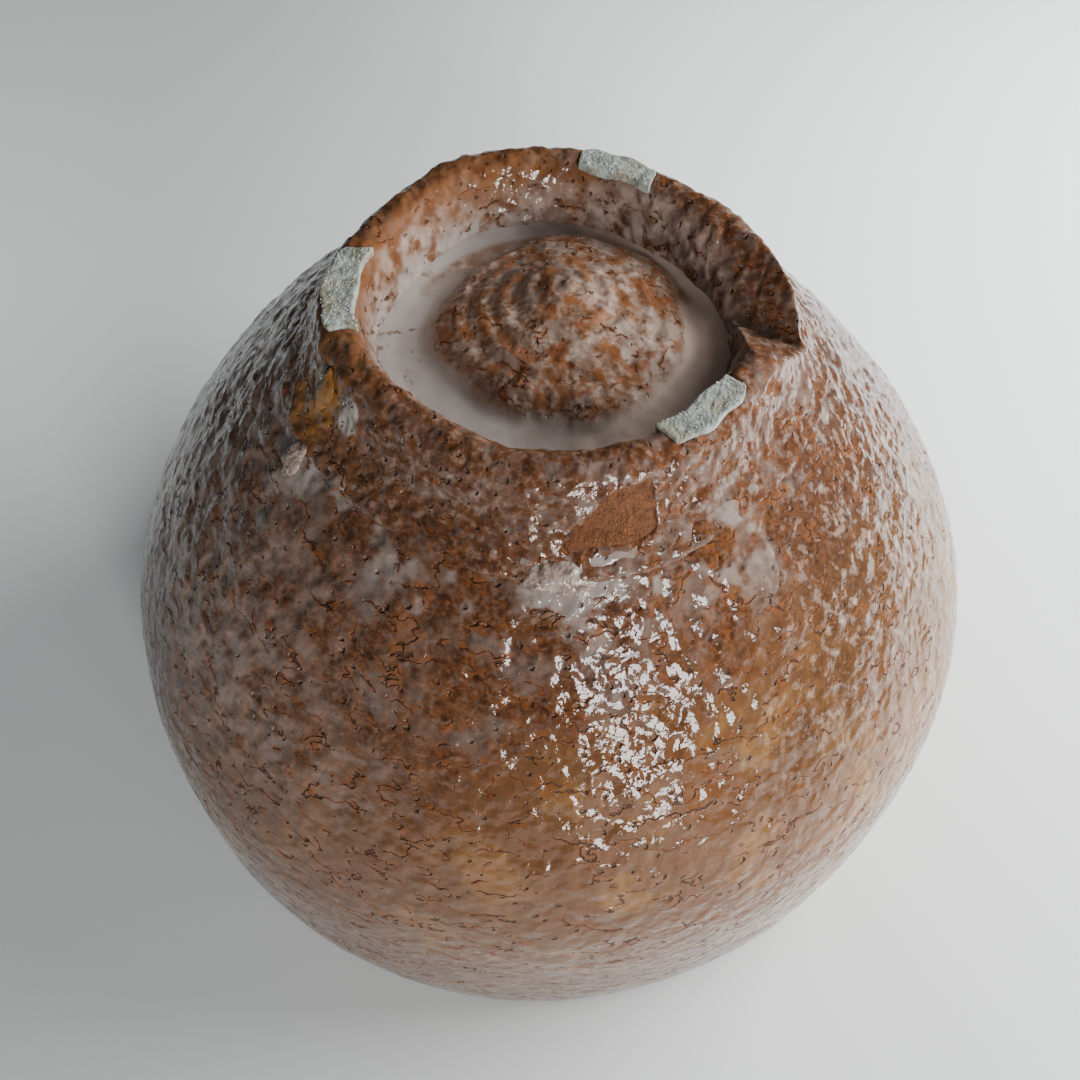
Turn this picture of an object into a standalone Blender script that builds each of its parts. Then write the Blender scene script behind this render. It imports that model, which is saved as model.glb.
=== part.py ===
"""A stoneware tea bowl, resting mouth down with its foot ring up.

The mouth rim stands on z = 0 and the bowl's axis is the Z axis. The clay wall
and the foot ring are separate pieces, each under its own coat of glaze, and
every coat keeps a small gap to what it lies on.
"""

import math

import bmesh
import bpy
from mathutils import Matrix, Vector

MM = 0.001

# Whole bowl, measured on the glaze.
BELLY_RADIUS = 63.0 * MM
BELLY_HEIGHT = 18.3 * MM
RIM_RADIUS = 60.8 * MM
CREASE_RADIUS = 31.5 * MM
CREASE_HEIGHT = 81.4 * MM
SHOULDER_RISE = 22.6 * MM
SHOULDER_SLOPE = (32.4 * MM, -30.3 * MM)

# Inside of the bowl, measured on the glaze.
INSIDE_RADIUS = 57.6 * MM
INSIDE_RIM_RADIUS = 56.6 * MM
INSIDE_BELLY_HEIGHT = 20.0 * MM
FLOOR_HEIGHT = 73.2 * MM
INSIDE_RISE = 30.0 * MM
INSIDE_CORNER = (46.0 * MM, 64.0 * MM)
TEA_POOL_RADIUS = 16.0 * MM
TEA_POOL_DEPTH = 0.9 * MM

# Layers.
GLAZE = 0.6 * MM
GAP = 0.3 * MM
UNDER_GLAZE = GLAZE + GAP
GLAZE_END_HEIGHT = 1.2 * MM
COAT_END_SHARE = 0.15
RIM_BEVEL = 0.6 * MM
RIM_BEVEL_HEIGHT = 0.5 * MM
WINDOW_SINK = 0.15 * MM

# Foot ring and the recess inside it.
FOOT_TOP = 89.8 * MM
SEAT_HEIGHT = 79.8 * MM
RING_RADIUS = 27.0 * MM
RECESS_RADIUS = 20.9 * MM
POOL_HEIGHT = 81.3 * MM
POOL_MENISCUS = 0.35 * MM
POOL_MENISCUS_RADIUS = 18.5 * MM
GLAZE_SKIRT = 1.0 * MM
BOSS_RADIUS = 15.2 * MM
BOSS_SHIFT = (0.0, 2.2 * MM)
BOSS_STEP = 1.7 * MM
BOSS_STEP_SHARE = 0.15
BOSS_CONE = 6.0 * MM
BOSS_TIP_WORN = 0.25 * MM
BOSS_LEAN = (1.3 * MM, 1.4 * MM)

# Wedge cut through the ring on its +X side. Its bottom runs from the recess outwards.
WEDGE_DEPTH = 8.1 * MM
WEDGE_START = (15.8 * MM, 11.0 * MM)
WEDGE_DIRECTION = -40.0
WEDGE_CLIMB = 12.0
WEDGE_LENGTH = 22.0 * MM
WEDGE_NEAR_SLOPE = 30.0
WEDGE_FAR_SLOPE = 58.0
WEDGE_HEADROOM = 4.0 * MM
WEDGE_NEAR_BEND = (-1.0 * MM, 0.55 * MM)
WEDGE_FAR_BEND = (0.7 * MM, 0.8 * MM)

# Kiln marks: name, direction in degrees, half width in degrees.
MARKS = (
    ("kiln_mark_left", 180.5, 16.5),
    ("kiln_mark_back", 72.0, 12.5),
    ("kiln_mark_right", -47.0, 14.0),
)
MARK_INNER_RADIUS = 22.9 * MM
MARK_OUTER_RADIUS = 26.7 * MM
MARK_PROUD = 0.2 * MM
MARK_WORN_EDGE = 0.12 * MM

# Window in the foot's glaze that leaves the clay bare.
BARE_DIRECTION = -78.0
BARE_HEIGHT = 84.9 * MM
BARE_START_RADIUS = 25.5 * MM
BARE_REACH = 10.0 * MM
BARE_OUTLINE = (
    (-5.2 * MM, -3.0 * MM),
    (5.4 * MM, -2.6 * MM),
    (5.0 * MM, 2.9 * MM),
    (1.0 * MM, 2.9 * MM),
)

# Drops of glaze: name, direction, radius, height, half sizes (all mm), tilt in degrees, material.
DROPS = (
    ("milky_bead_front", -87.0, 33.4, 80.0, (4.4, 1.9, 1.2), -45.0, "milky_glaze"),
    ("milky_bead_left", -150.0, 34.6, 78.6, (1.6, 2.2, 1.2), -45.0, "milky_glaze"),
    ("amber_run", -154.0, 29.0, 85.2, (1.9, 3.9, 1.2), -68.0, "amber_glaze"),
)
CREASE_KEEP_CLEAR = (32.3 * MM, 79.0 * MM)

# How far the hand-thrown shape strays from round.
BELLY_STRAY = 0.6 * MM
BELLY_STRAY_DIRECTION = -130.0
FOOT_STRAY = 0.7 * MM
FOOT_STRAY_DIRECTION = 7.0
FOOT_STRAY_HEIGHTS = (70.0 * MM, 81.0 * MM)

STEPS_AROUND = 60
OUTSIDE_POINTS = 14
INSIDE_POINTS = 13

COLOURS = {
    "clay": ((0.300, 0.115, 0.050), 0.85),
    "outer_glaze": ((0.300, 0.160, 0.100), 0.22),
    "inner_glaze": ((0.480, 0.290, 0.200), 0.25),
    "foot_glaze": ((0.130, 0.062, 0.040), 0.20),
    "milky_glaze": ((0.400, 0.340, 0.310), 0.15),
    "kiln_pad": ((0.380, 0.400, 0.340), 0.90),
    "amber_glaze": ((0.350, 0.150, 0.045), 0.25),
}


def clear_scene():
    for obj in list(bpy.data.objects):
        bpy.data.objects.remove(obj, do_unlink=True)


def new_collection(name):
    made = bpy.data.collections.new(name)
    bpy.context.scene.collection.children.link(made)
    return made


def new_material(name):
    colour, roughness = COLOURS[name]
    made = bpy.data.materials.new(name)
    made.use_nodes = True
    shader = made.node_tree.nodes["Principled BSDF"]
    shader.inputs["Base Color"].default_value = (*colour, 1.0)
    shader.inputs["Roughness"].default_value = roughness
    shader.inputs["Metallic"].default_value = 0.0
    made.diffuse_color = (*colour, 1.0)
    return made


def bezier(start, pull_start, pull_end, end, count):
    """Points along a cubic curve, both ends included."""
    points = []
    for step in range(count):
        t = step / (count - 1)
        u = 1.0 - t
        weights = (u * u * u, 3 * u * u * t, 3 * u * t * t, t * t * t)
        corners = (start, pull_start, pull_end, end)
        points.append(
            tuple(sum(w * c[axis] for w, c in zip(weights, corners)) for axis in (0, 1))
        )
    return points


def offset_line(points, distance):
    """The line moved to the right of its direction by this distance."""
    moved = []
    for index, (r, z) in enumerate(points):
        before = points[max(index - 1, 0)]
        after = points[min(index + 1, len(points) - 1)]
        along_r = after[0] - before[0]
        along_z = after[1] - before[1]
        length = math.hypot(along_r, along_z)
        moved.append((r + distance * along_z / length, z - distance * along_r / length))
    return moved


def outside_line():
    """Glaze surface of the wall, from the crease under the foot down to the rim."""
    shoulder = bezier(
        (CREASE_RADIUS, CREASE_HEIGHT),
        (CREASE_RADIUS + SHOULDER_SLOPE[0], CREASE_HEIGHT + SHOULDER_SLOPE[1]),
        (BELLY_RADIUS, BELLY_HEIGHT + SHOULDER_RISE),
        (BELLY_RADIUS, BELLY_HEIGHT),
        OUTSIDE_POINTS,
    )
    lower = []
    for step in range(1, 5):
        z = BELLY_HEIGHT + (GLAZE_END_HEIGHT - BELLY_HEIGHT) * step / 4
        share = (BELLY_HEIGHT - z) / (BELLY_HEIGHT - GLAZE_END_HEIGHT)
        lower.append((BELLY_RADIUS - (BELLY_RADIUS - RIM_RADIUS) * share**2, z))
    # The coat stops just short of the crease, where the ring's own coat takes over.
    share = COAT_END_SHARE
    first = tuple(a * (1.0 - share) + b * share for a, b in zip(shoulder[0], shoulder[1]))
    return [first] + shoulder[1:] + lower


def inside_line():
    """Glaze surface inside, from the rim up to the middle of the floor."""
    wall = bezier(
        (INSIDE_RADIUS, INSIDE_BELLY_HEIGHT),
        (INSIDE_RADIUS, INSIDE_BELLY_HEIGHT + INSIDE_RISE),
        INSIDE_CORNER,
        (TEA_POOL_RADIUS, FLOOR_HEIGHT),
        INSIDE_POINTS,
    )
    rim = [
        (INSIDE_RIM_RADIUS, GLAZE_END_HEIGHT),
        (INSIDE_RIM_RADIUS + 0.5 * MM, 6.0 * MM),
        (INSIDE_RADIUS - 0.15 * MM, 13.0 * MM),
    ]
    pool = [
        (TEA_POOL_RADIUS - 2.0 * MM, FLOOR_HEIGHT + 0.75 * TEA_POOL_DEPTH),
        (TEA_POOL_RADIUS - 6.0 * MM, FLOOR_HEIGHT + TEA_POOL_DEPTH),
        (0.0, FLOOR_HEIGHT + TEA_POOL_DEPTH),
    ]
    return rim + wall + pool


def boss_line(lift):
    """Turned boss in the recess, from its apex out to its foot, raised by this much."""
    points = []
    for step in range(8):
        share = step / 7
        step_height = BOSS_STEP * min((1.0 - share) / BOSS_STEP_SHARE, 1.0) ** 0.5
        height = step_height + BOSS_CONE * (1.0 - share)
        points.append((BOSS_RADIUS * share, SEAT_HEIGHT + height + lift))
    points[0] = (0.0, points[0][1] - BOSS_TIP_WORN)
    return points


def foot_line():
    """Glaze surface of the foot ring, from the outer crease over the edge and down inside."""
    return [
        (32.0 * MM, SEAT_HEIGHT + 0.8 * MM),
        (31.4 * MM, SEAT_HEIGHT + 1.7 * MM),
        (30.3 * MM, SEAT_HEIGHT + 3.2 * MM),
        (29.1 * MM, SEAT_HEIGHT + 5.2 * MM),
        (28.2 * MM, SEAT_HEIGHT + 7.2 * MM),
        (27.5 * MM, FOOT_TOP - 1.3 * MM),
        (26.9 * MM, FOOT_TOP - 0.4 * MM),
        (26.1 * MM, FOOT_TOP),
        (23.5 * MM, FOOT_TOP),
        (22.9 * MM, FOOT_TOP - 0.3 * MM),
        (22.5 * MM, FOOT_TOP - 0.9 * MM),
        (21.9 * MM, FOOT_TOP - 3.3 * MM),
        (21.2 * MM, FOOT_TOP - 6.8 * MM),
        (RECESS_RADIUS, SEAT_HEIGHT + 0.8 * MM),
    ]


def turned(name, collection, profile, closed):
    """A solid or a surface turned about Z from a line of (radius, height)."""
    mesh = bpy.data.meshes.new(name)
    vertices = [(r, 0.0, z) for r, z in profile]
    edges = [(i, i + 1) for i in range(len(profile) - 1)]
    if closed:
        edges.append((len(profile) - 1, 0))
    mesh.from_pydata(vertices, edges, [])
    obj = bpy.data.objects.new(name, mesh)
    collection.objects.link(obj)
    screw = obj.modifiers.new("turn", "SCREW")
    screw.axis = "Z"
    screw.angle = math.tau
    screw.steps = STEPS_AROUND
    screw.render_steps = STEPS_AROUND
    screw.use_merge_vertices = True
    screw.merge_threshold = 0.00002
    screw.use_normal_calculate = False
    screw.use_smooth_shade = True
    return obj


def coat(name, collection, line):
    """A turned surface thickened inwards to the depth of the glaze."""
    obj = turned(name, collection, line, closed=False)
    thicken = obj.modifiers.new("thickness", "SOLIDIFY")
    thicken.thickness = GLAZE
    thicken.offset = -1.0
    thicken.use_even_offset = True
    return obj


def prism(name, collection, outline, height):
    """A flat outline in the XY plane thickened upwards from z = 0."""
    mesh = bpy.data.meshes.new(name)
    shape = bmesh.new()
    corners = [shape.verts.new((x, y, 0.0)) for x, y in outline]
    face = shape.faces.new(corners)
    face.normal_update()
    if face.normal.z < 0.0:
        face.normal_flip()
    shape.to_mesh(mesh)
    shape.free()
    obj = bpy.data.objects.new(name, mesh)
    collection.objects.link(obj)
    thicken = obj.modifiers.new("thickness", "SOLIDIFY")
    thicken.thickness = height
    thicken.offset = 1.0
    return obj


def subtract(obj, cutter):
    boolean = obj.modifiers.new("cut by " + cutter.name, "BOOLEAN")
    boolean.operation = "DIFFERENCE"
    boolean.solver = "EXACT"
    boolean.object = cutter


def wedge_cutter(name, collection, grow):
    """The wedge's cutter: a groove whose near side is long and low and whose far side is steep."""
    near = (WEDGE_HEADROOM + WEDGE_DEPTH) / math.tan(math.radians(WEDGE_NEAR_SLOPE))
    far = (WEDGE_HEADROOM + WEDGE_DEPTH) / math.tan(math.radians(WEDGE_FAR_SLOPE))
    groove = [
        (-near, WEDGE_HEADROOM),
        (WEDGE_NEAR_BEND[0], WEDGE_NEAR_BEND[1] - WEDGE_DEPTH),
        (0.0, -WEDGE_DEPTH),
        (WEDGE_FAR_BEND[0], WEDGE_FAR_BEND[1] - WEDGE_DEPTH),
        (far, WEDGE_HEADROOM),
    ]
    cutter = prism(name, collection, offset_line(groove, grow), WEDGE_LENGTH)
    direction = math.radians(WEDGE_DIRECTION)
    climb = math.radians(WEDGE_CLIMB)
    flat = math.cos(climb)
    along = Vector((math.cos(direction) * flat, math.sin(direction) * flat, math.sin(climb)))
    across = Vector((-math.sin(direction), math.cos(direction), 0.0))
    upright = along.cross(across)
    start = Vector((*WEDGE_START, FOOT_TOP)) - along * grow
    turn = Matrix((across, upright, along)).transposed().to_4x4()
    cutter.matrix_world = Matrix.Translation(start) @ turn
    return cutter


def mark_outline(direction, half_width, grow):
    """Outline of one kiln mark: a short piece of the ring with straight-cut ends."""
    inner = MARK_INNER_RADIUS - grow
    outer = MARK_OUTER_RADIUS + grow
    reach = math.radians(half_width) + grow / inner
    middle = math.radians(direction)
    outline = []
    for step in range(7):
        angle = middle - reach + 2 * reach * step / 6
        outline.append((outer * math.cos(angle), outer * math.sin(angle)))
    for step in range(7):
        angle = middle + reach - 2 * reach * step / 6
        outline.append((inner * math.cos(angle), inner * math.sin(angle)))
    return outline


def bare_patch_cutter(collection):
    """Cutter of the window that leaves clay bare on the ring's outer side."""
    cutter = prism("bare_patch_cutter", collection, BARE_OUTLINE, BARE_REACH)
    direction = math.radians(BARE_DIRECTION)
    # It stands tangent to the ring and reaches outwards from inside the glaze's gap.
    cutter.rotation_euler = (math.pi / 2, 0.0, direction + math.pi / 2)
    start = (BARE_START_RADIUS * math.cos(direction), BARE_START_RADIUS * math.sin(direction))
    cutter.location = (*start, BARE_HEIGHT)
    return cutter


def flat_drop(name, collection, direction, radius, height, size, tilt):
    """A drop of glaze: a flattened ball lying on the wall, long axis along the crease."""
    shape = bmesh.new()
    bmesh.ops.create_uvsphere(shape, u_segments=24, v_segments=12, radius=1.0)
    mesh = bpy.data.meshes.new(name)
    shape.to_mesh(mesh)
    shape.free()
    for vertex in mesh.vertices:
        vertex.co = (vertex.co.x * size[0], vertex.co.y * size[1], vertex.co.z * size[2])
    obj = bpy.data.objects.new(name, mesh)
    collection.objects.link(obj)
    angle = math.radians(direction)
    obj.rotation_euler = (math.radians(tilt), 0.0, angle + math.pi / 2)
    obj.location = (radius * math.cos(angle), radius * math.sin(angle), height)
    return obj


def smooth_step(low, high, value):
    share = min(max((value - low) / (high - low), 0.0), 1.0)
    return share * share * (3.0 - 2.0 * share)


def boss_offset(radius, z):
    """How far a point of the recess follows the boss, which sits off centre and leans."""
    if z < SEAT_HEIGHT - 0.1 * MM:
        return 0.0, 0.0
    nearness = 1.0 - smooth_step(BOSS_RADIUS, RECESS_RADIUS - GAP, radius)
    height = (z - SEAT_HEIGHT) / (BOSS_STEP + BOSS_CONE)
    return tuple(nearness * (s + height * l) for s, l in zip(BOSS_SHIFT, BOSS_LEAN))


def hand_thrown(x, y, z):
    """Where a point of the true round goes in the slightly uneven, hand-thrown bowl."""
    radius = math.hypot(x, y)
    angle = math.atan2(y, x)
    foot = smooth_step(*FOOT_STRAY_HEIGHTS, z)
    belly = BELLY_STRAY * math.cos(3 * (angle - math.radians(BELLY_STRAY_DIRECTION)))
    ring = FOOT_STRAY * math.cos(4 * (angle - math.radians(FOOT_STRAY_DIRECTION)))
    belly *= min(radius / BELLY_RADIUS, 1.0) ** 2
    ring *= min(radius / RING_RADIUS, 1.0) ** 2
    stretch = 1.0 + ((1.0 - foot) * belly + foot * ring) / max(radius, MM)
    aside = boss_offset(radius, z)
    return x * stretch + aside[0], y * stretch + aside[1], z


def finish_piece(obj, material):
    """Turns the piece's modifiers into its mesh, then gives it the hand-thrown shape."""
    graph = bpy.context.evaluated_depsgraph_get()
    made = bpy.data.meshes.new_from_object(obj.evaluated_get(graph), depsgraph=graph)
    made.transform(obj.matrix_world)
    for vertex in made.vertices:
        vertex.co = hand_thrown(*vertex.co)
    made.name = obj.name
    made.materials.clear()
    made.materials.append(material)
    return made


def main():
    clear_scene()
    bowl = new_collection("matcha_bowl")
    cutters = new_collection("cutters")
    cutters.hide_render = True
    materials = {name: new_material(name) for name in COLOURS}
    pieces = []

    outside = outside_line()
    clay_outside = offset_line(outside, UNDER_GLAZE)
    inside = inside_line()
    clay_inside = offset_line(inside, UNDER_GLAZE)
    clay_inside[-1] = (0.0, clay_inside[-2][1])

    rim_out = clay_outside[-1][0]
    rim_in = clay_inside[0][0]
    rim = [
        (rim_out - RIM_BEVEL / 4, RIM_BEVEL_HEIGHT),
        (rim_out - RIM_BEVEL, 0.0),
        (rim_in + RIM_BEVEL, 0.0),
        (rim_in + RIM_BEVEL / 4, RIM_BEVEL_HEIGHT),
    ]
    seat_edge = (clay_outside[0][0] - 0.35 * MM, SEAT_HEIGHT)
    base = boss_line(0.0) + [(RECESS_RADIUS, SEAT_HEIGHT), seat_edge]
    clay_body = turned("clay_body", bowl, base + clay_outside + rim + clay_inside, False)
    pieces.append((clay_body, "clay"))

    pieces.append((coat("outer_glaze", bowl, outside), "outer_glaze"))
    pieces.append((coat("inner_glaze", bowl, inside), "inner_glaze"))

    surface = foot_line()
    glaze_back = offset_line(surface, -GLAZE)
    clay_line = offset_line(surface, -UNDER_GLAZE)
    core_bottom = SEAT_HEIGHT + GAP
    clay_line[0] = (clay_line[0][0], core_bottom)
    clay_line[-1] = (clay_line[-1][0], core_bottom)
    # The glaze's hollow runs on below its skirt, so that both of its edges are cut through.
    glaze_back[0] = (glaze_back[0][0] + 0.4 * MM, SEAT_HEIGHT - GLAZE_SKIRT)
    glaze_back[-1] = (glaze_back[-1][0], SEAT_HEIGHT - GLAZE_SKIRT)

    foot_ring = turned("foot_ring", bowl, clay_line[::-1], True)
    subtract(foot_ring, wedge_cutter("wedge_in_clay", cutters, UNDER_GLAZE))
    pieces.append((foot_ring, "clay"))

    hollow = turned("foot_glaze_hollow", cutters, glaze_back[::-1], True)
    subtract(hollow, wedge_cutter("wedge_in_hollow", cutters, GLAZE))
    foot_glaze = turned("foot_glaze", bowl, surface[::-1], True)
    subtract(foot_glaze, wedge_cutter("wedge_in_glaze", cutters, 0.0))
    subtract(foot_glaze, bare_patch_cutter(cutters))
    pieces.append((foot_glaze, "foot_glaze"))

    window_bottom = FOOT_TOP - GLAZE - WINDOW_SINK
    for name, direction, half_width in MARKS:
        window = prism(name + "_window", cutters, mark_outline(direction, half_width, GAP), 3.0 * MM)
        window.location.z = window_bottom
        subtract(foot_glaze, window)
        mark = prism(name, bowl, mark_outline(direction, half_width, 0.0), GLAZE + MARK_PROUD)
        mark.location.z = FOOT_TOP - GLAZE
        soften = mark.modifiers.new("worn edge", "BEVEL")
        soften.width = MARK_WORN_EDGE
        soften.segments = 1
        pieces.append((mark, "kiln_pad"))
    subtract(foot_glaze, hollow)

    pool_edge = RECESS_RADIUS - GAP
    boss_top = boss_line(UNDER_GLAZE)
    boss_bottom = boss_line(GAP)
    pool_top = [(r, max(z, POOL_HEIGHT)) for r, z in boss_top]
    recess = pool_top + [
        (POOL_MENISCUS_RADIUS, POOL_HEIGHT),
        (pool_edge, POOL_HEIGHT + POOL_MENISCUS),
        (pool_edge, SEAT_HEIGHT + GAP),
    ]
    recess_glaze = turned("recess_glaze", bowl, recess + boss_bottom[::-1], False)
    pieces.append((recess_glaze, "milky_glaze"))

    hull = offset_line(outside, -GAP)
    hull_top = (0.0, hull[0][1] + 0.4 * MM)
    hull_side = (hull[0][0] - 0.3 * MM, hull[0][1] + 0.4 * MM)
    keep_clear = turned(
        "wall_hull", cutters, [hull_top, hull_side] + hull + [(0.0, GLAZE_END_HEIGHT)], False
    )
    ring_hull = turned(
        "ring_hull", cutters, [(0.0, FOOT_TOP + GAP)] + offset_line(surface, GAP)[:8][::-1]
        + [CREASE_KEEP_CLEAR, (0.0, CREASE_KEEP_CLEAR[1])], False
    )

    for name, direction, radius, height, size, tilt, colour in DROPS:
        drop = flat_drop(
            name, bowl, direction, radius * MM, height * MM, [s * MM for s in size], tilt
        )
        subtract(drop, keep_clear)
        subtract(drop, ring_hull)
        pieces.append((drop, colour))

    bpy.context.view_layer.update()
    finished = [(obj, finish_piece(obj, materials[colour])) for obj, colour in pieces]
    for obj, mesh in finished:
        obj.modifiers.clear()
        obj.data = mesh
        obj.location = (0.0, 0.0, 0.0)
        obj.rotation_euler = (0.0, 0.0, 0.0)
        mesh.shade_smooth()
        mesh.set_sharp_from_angle(angle=math.radians(35.0))
    for obj in cutters.objects:
        obj.hide_render = True
        obj.display_type = "WIRE"


main()
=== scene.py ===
"""A hand-thrown stoneware tea bowl, lying mouth down with its foot ring up.

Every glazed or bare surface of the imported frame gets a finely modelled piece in
its place: turned skins with a beaded relief, a cut and worn foot ring, a
pooled recess with its boss, three rough kiln marks and a few drops of glaze.
All pieces stay in the frame's own place and size, in metres, with +Z up.
"""

import math

import bmesh
import bpy
import numpy as np
from mathutils import Matrix, Vector


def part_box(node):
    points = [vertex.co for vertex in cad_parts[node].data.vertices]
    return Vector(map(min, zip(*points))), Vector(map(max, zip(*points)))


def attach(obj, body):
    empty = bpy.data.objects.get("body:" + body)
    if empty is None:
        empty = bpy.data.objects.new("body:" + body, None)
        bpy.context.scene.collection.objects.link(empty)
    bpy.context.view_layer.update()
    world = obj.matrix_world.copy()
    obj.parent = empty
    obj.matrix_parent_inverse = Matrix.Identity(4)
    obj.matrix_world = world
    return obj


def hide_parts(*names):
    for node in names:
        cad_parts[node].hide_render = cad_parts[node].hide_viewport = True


bl_info = {
    "name": "Stoneware Tea Bowl",
    "version": (1, 0, 0),
    "blender": (4, 5, 0),
    "location": "View3D > Sidebar > Tea Bowl",
    "description": "Glazes, foot ring and stage of a stoneware tea bowl",
    "category": "Add Mesh",
}

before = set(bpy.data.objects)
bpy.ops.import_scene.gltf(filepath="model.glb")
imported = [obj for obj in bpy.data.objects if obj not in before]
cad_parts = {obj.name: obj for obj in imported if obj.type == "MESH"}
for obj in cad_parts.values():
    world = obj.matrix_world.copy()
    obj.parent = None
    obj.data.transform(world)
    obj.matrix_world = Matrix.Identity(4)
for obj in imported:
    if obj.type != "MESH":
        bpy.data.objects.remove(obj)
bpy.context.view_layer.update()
MM = 0.001

BELLY_RADIUS = (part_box("outer_glaze")[1].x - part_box("outer_glaze")[0].x) / 2
FOOT_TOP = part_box("foot_glaze")[1].z

# Directions round the bowl are in degrees from +X, and heights are from the mouth's plane.
CREASE_RADIUS = 31.5 * MM
CREASE_HEIGHT = 81.4 * MM
SHOULDER_SLOPE = (32.4 * MM, -30.3 * MM)
SHOULDER_RISE = 22.6 * MM
BELLY_HEIGHT = 18.3 * MM
GLAZE_END_HEIGHT = 1.2 * MM
INSIDE_RIM_RADIUS = 56.6 * MM
INSIDE_RADIUS = 57.6 * MM
INSIDE_BELLY_HEIGHT = 20.0 * MM
INSIDE_RISE = 30.0 * MM
INSIDE_CORNER = (46.0 * MM, 64.0 * MM)
FLOOR_HEIGHT = 73.2 * MM
TEA_POOL_RADIUS = 16.0 * MM
TEA_POOL_DEPTH = 0.9 * MM
GLAZE = 0.6 * MM
UNDER_GLAZE = 0.9 * MM
RING_UNDER_GLAZE = 0.35 * MM
SEAT_HEIGHT = 79.8 * MM
RECESS_RADIUS = 20.9 * MM
RING_RADIUS = 27.0 * MM
# The foot ring's lip, as radius and depth under its top, and its skirt, as radius and height
# over its seat, in millimetres.
FOOT_LIP = (
    (22.1, 3.6), (22.8, 1.4), (23.5, 0.3), (24.7, 0.0),
    (26.2, 0.15), (27.2, 0.85), (27.9, 2.1), (28.5, 3.6),
)
FOOT_SKIRT = ((29.3, 4.6), (30.3, 3.1), (31.6, 1.6), (33.2, 0.2))
# How far the hand-thrown bowl strays from true: amount, waves round it and their direction.
BELLY_STRAY = (0.6 * MM, 3, -130.0)
RING_STRAY = (0.7 * MM, 4, 7.0)
# A swell of the ring: amount, direction and width.
RING_SWELL = (0.9 * MM, 126.0, 27.0)
POOL_HEIGHT = 81.3 * MM
BOSS_RADIUS = 16.2 * MM
BOSS_STEP = 1.7 * MM
BOSS_CONE = 6.0 * MM
BOSS_SHIFT = np.array((0.0, 2.2 * MM))
BOSS_LEAN = np.array((1.3 * MM, 1.4 * MM))

# The wedge cut through the ring runs from the recess outwards and climbs a little.
WEDGE_DEPTH = 8.1 * MM
WEDGE_START = (16.4 * MM, 8.1 * MM)
WEDGE_DIRECTION = -40.0
WEDGE_CLIMB = 8.0
WEDGE_LENGTH = 22.0 * MM
WEDGE_NEAR_SLOPE = 35.0
WEDGE_FAR_SLOPE = 50.0
WEDGE_HEADROOM = 4.0 * MM

# Kiln marks: node, direction, half width.
MARKS = (
    ("kiln_mark_left", 180.5, 16.5),
    ("kiln_mark_back", 72.0, 12.5),
    ("kiln_mark_right", -47.0, 14.0),
)
MARK_RADII = (22.9 * MM, 26.7 * MM)

# Window in the foot's glaze that leaves the clay bare, with its corners in millimetres.
BARE_DIRECTION = -78.0
BARE_HEIGHT = 84.9 * MM
BARE_OUTLINE = ((-5.2, -3.0), (5.4, -2.6), (5.0, 2.9), (1.0, 2.9))

# Drops of glaze: node, direction, radius, height, half sizes in millimetres, and tilt.
DROPS = (
    ("milky_bead_front", -87.0, 33.4, 80.0, (3.9, 2.0, 0.60), -42.0),
    ("milky_bead_left", -150.0, 34.6, 78.6, (1.7, 2.3, 0.65), -45.0),
    ("amber_run", -154.0, 29.0, 85.2, (2.1, 3.7, 0.85), -68.0),
)

# Relief of the surfaces: swells of the glaze, throwing rings inside and the spiral on the boss.
SWELL_SIZE = 9.0 * MM
THROWING_RING = 7.0 * MM
THROWING_RING_HEIGHT = 0.18 * MM
SPIRAL_STEP = 2.6 * MM
SPIRAL_HEIGHT = 0.16 * MM
POOL_MENISCUS = 0.35 * MM

# Fineness of the modelled skins: steps along and round them, and voxel sizes.
WALL_SPACING = 0.68 * MM
BACK_SPACING = 9.0 * MM
WALL_STEPS = 600
CLAY_STEPS = 420
INNER_STEPS = 300
RING_STEPS = 180
FOOT_GLAZE_VOXEL = 0.305 * MM
FOOT_CLAY_VOXEL = 0.32 * MM
MARK_VOXEL = 0.14 * MM

SEED = 11.0
GRIT_SEED = 3
CRACK_BROWN = (0.030, 0.010, 0.004)
PAD_YELLOW = (0.26, 0.21, 0.11)
SKY_TINT = (0.94, 0.97, 1.0)
GLAZE_IOR = 1.45

FLOOR_REACH = 3.0
FLOOR_ROUGHNESS = 0.95
# Lights: name, place, width, height, whether the glaze mirrors it. They aim at the bowl's middle.
LIGHTS = (
    ("side light", (0.28, 0.09, 0.17), 0.32, 0.24, False),
    ("front light", (0.30, -0.58, 0.72), 0.70, 0.70, False),
    ("window", (0.48, -1.12, 0.37), 0.34, 0.48, True),
)
BOWL_MIDDLE = (0.0, 0.0, 0.04)
CAMERA_PLACE = (0.0, -0.0942, 0.1769)
CAMERA_DOWN = 55.91
CAMERA_ASIDE = -0.72
CAMERA_ROLL = -1.37
CAMERA_LENS = 35.67


def length(name, description, default):
    return bpy.props.FloatProperty(
        name=name, description=description, default=default, unit="LENGTH", subtype="DISTANCE"
    )


def tint(name, description, default):
    return bpy.props.FloatVectorProperty(
        name=name, description=description, default=default, size=3, subtype="COLOR"
    )


def power(name, description, default):
    return bpy.props.FloatProperty(
        name=name, description=description, default=default, unit="POWER", subtype="POWER"
    )


class TeaBowlSizes(bpy.types.PropertyGroup):
    """Sizes of the bowl's surface."""

    belly_radius: length("Belly radius", "Half the bowl's width at the belly", BELLY_RADIUS)
    rim_radius: length("Rim radius", "Radius of the mouth, on the outer glaze", 60.8 * MM)
    bead_size: length("Bead size", "Width of one bead of the crawled glaze", 2.3 * MM)
    bead_height: length("Bead height", "How far the beads of glaze stand up", 0.46 * MM)
    grain_size: length("Grain size", "Radius of the grit in bare clay", 0.13 * MM)


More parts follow.
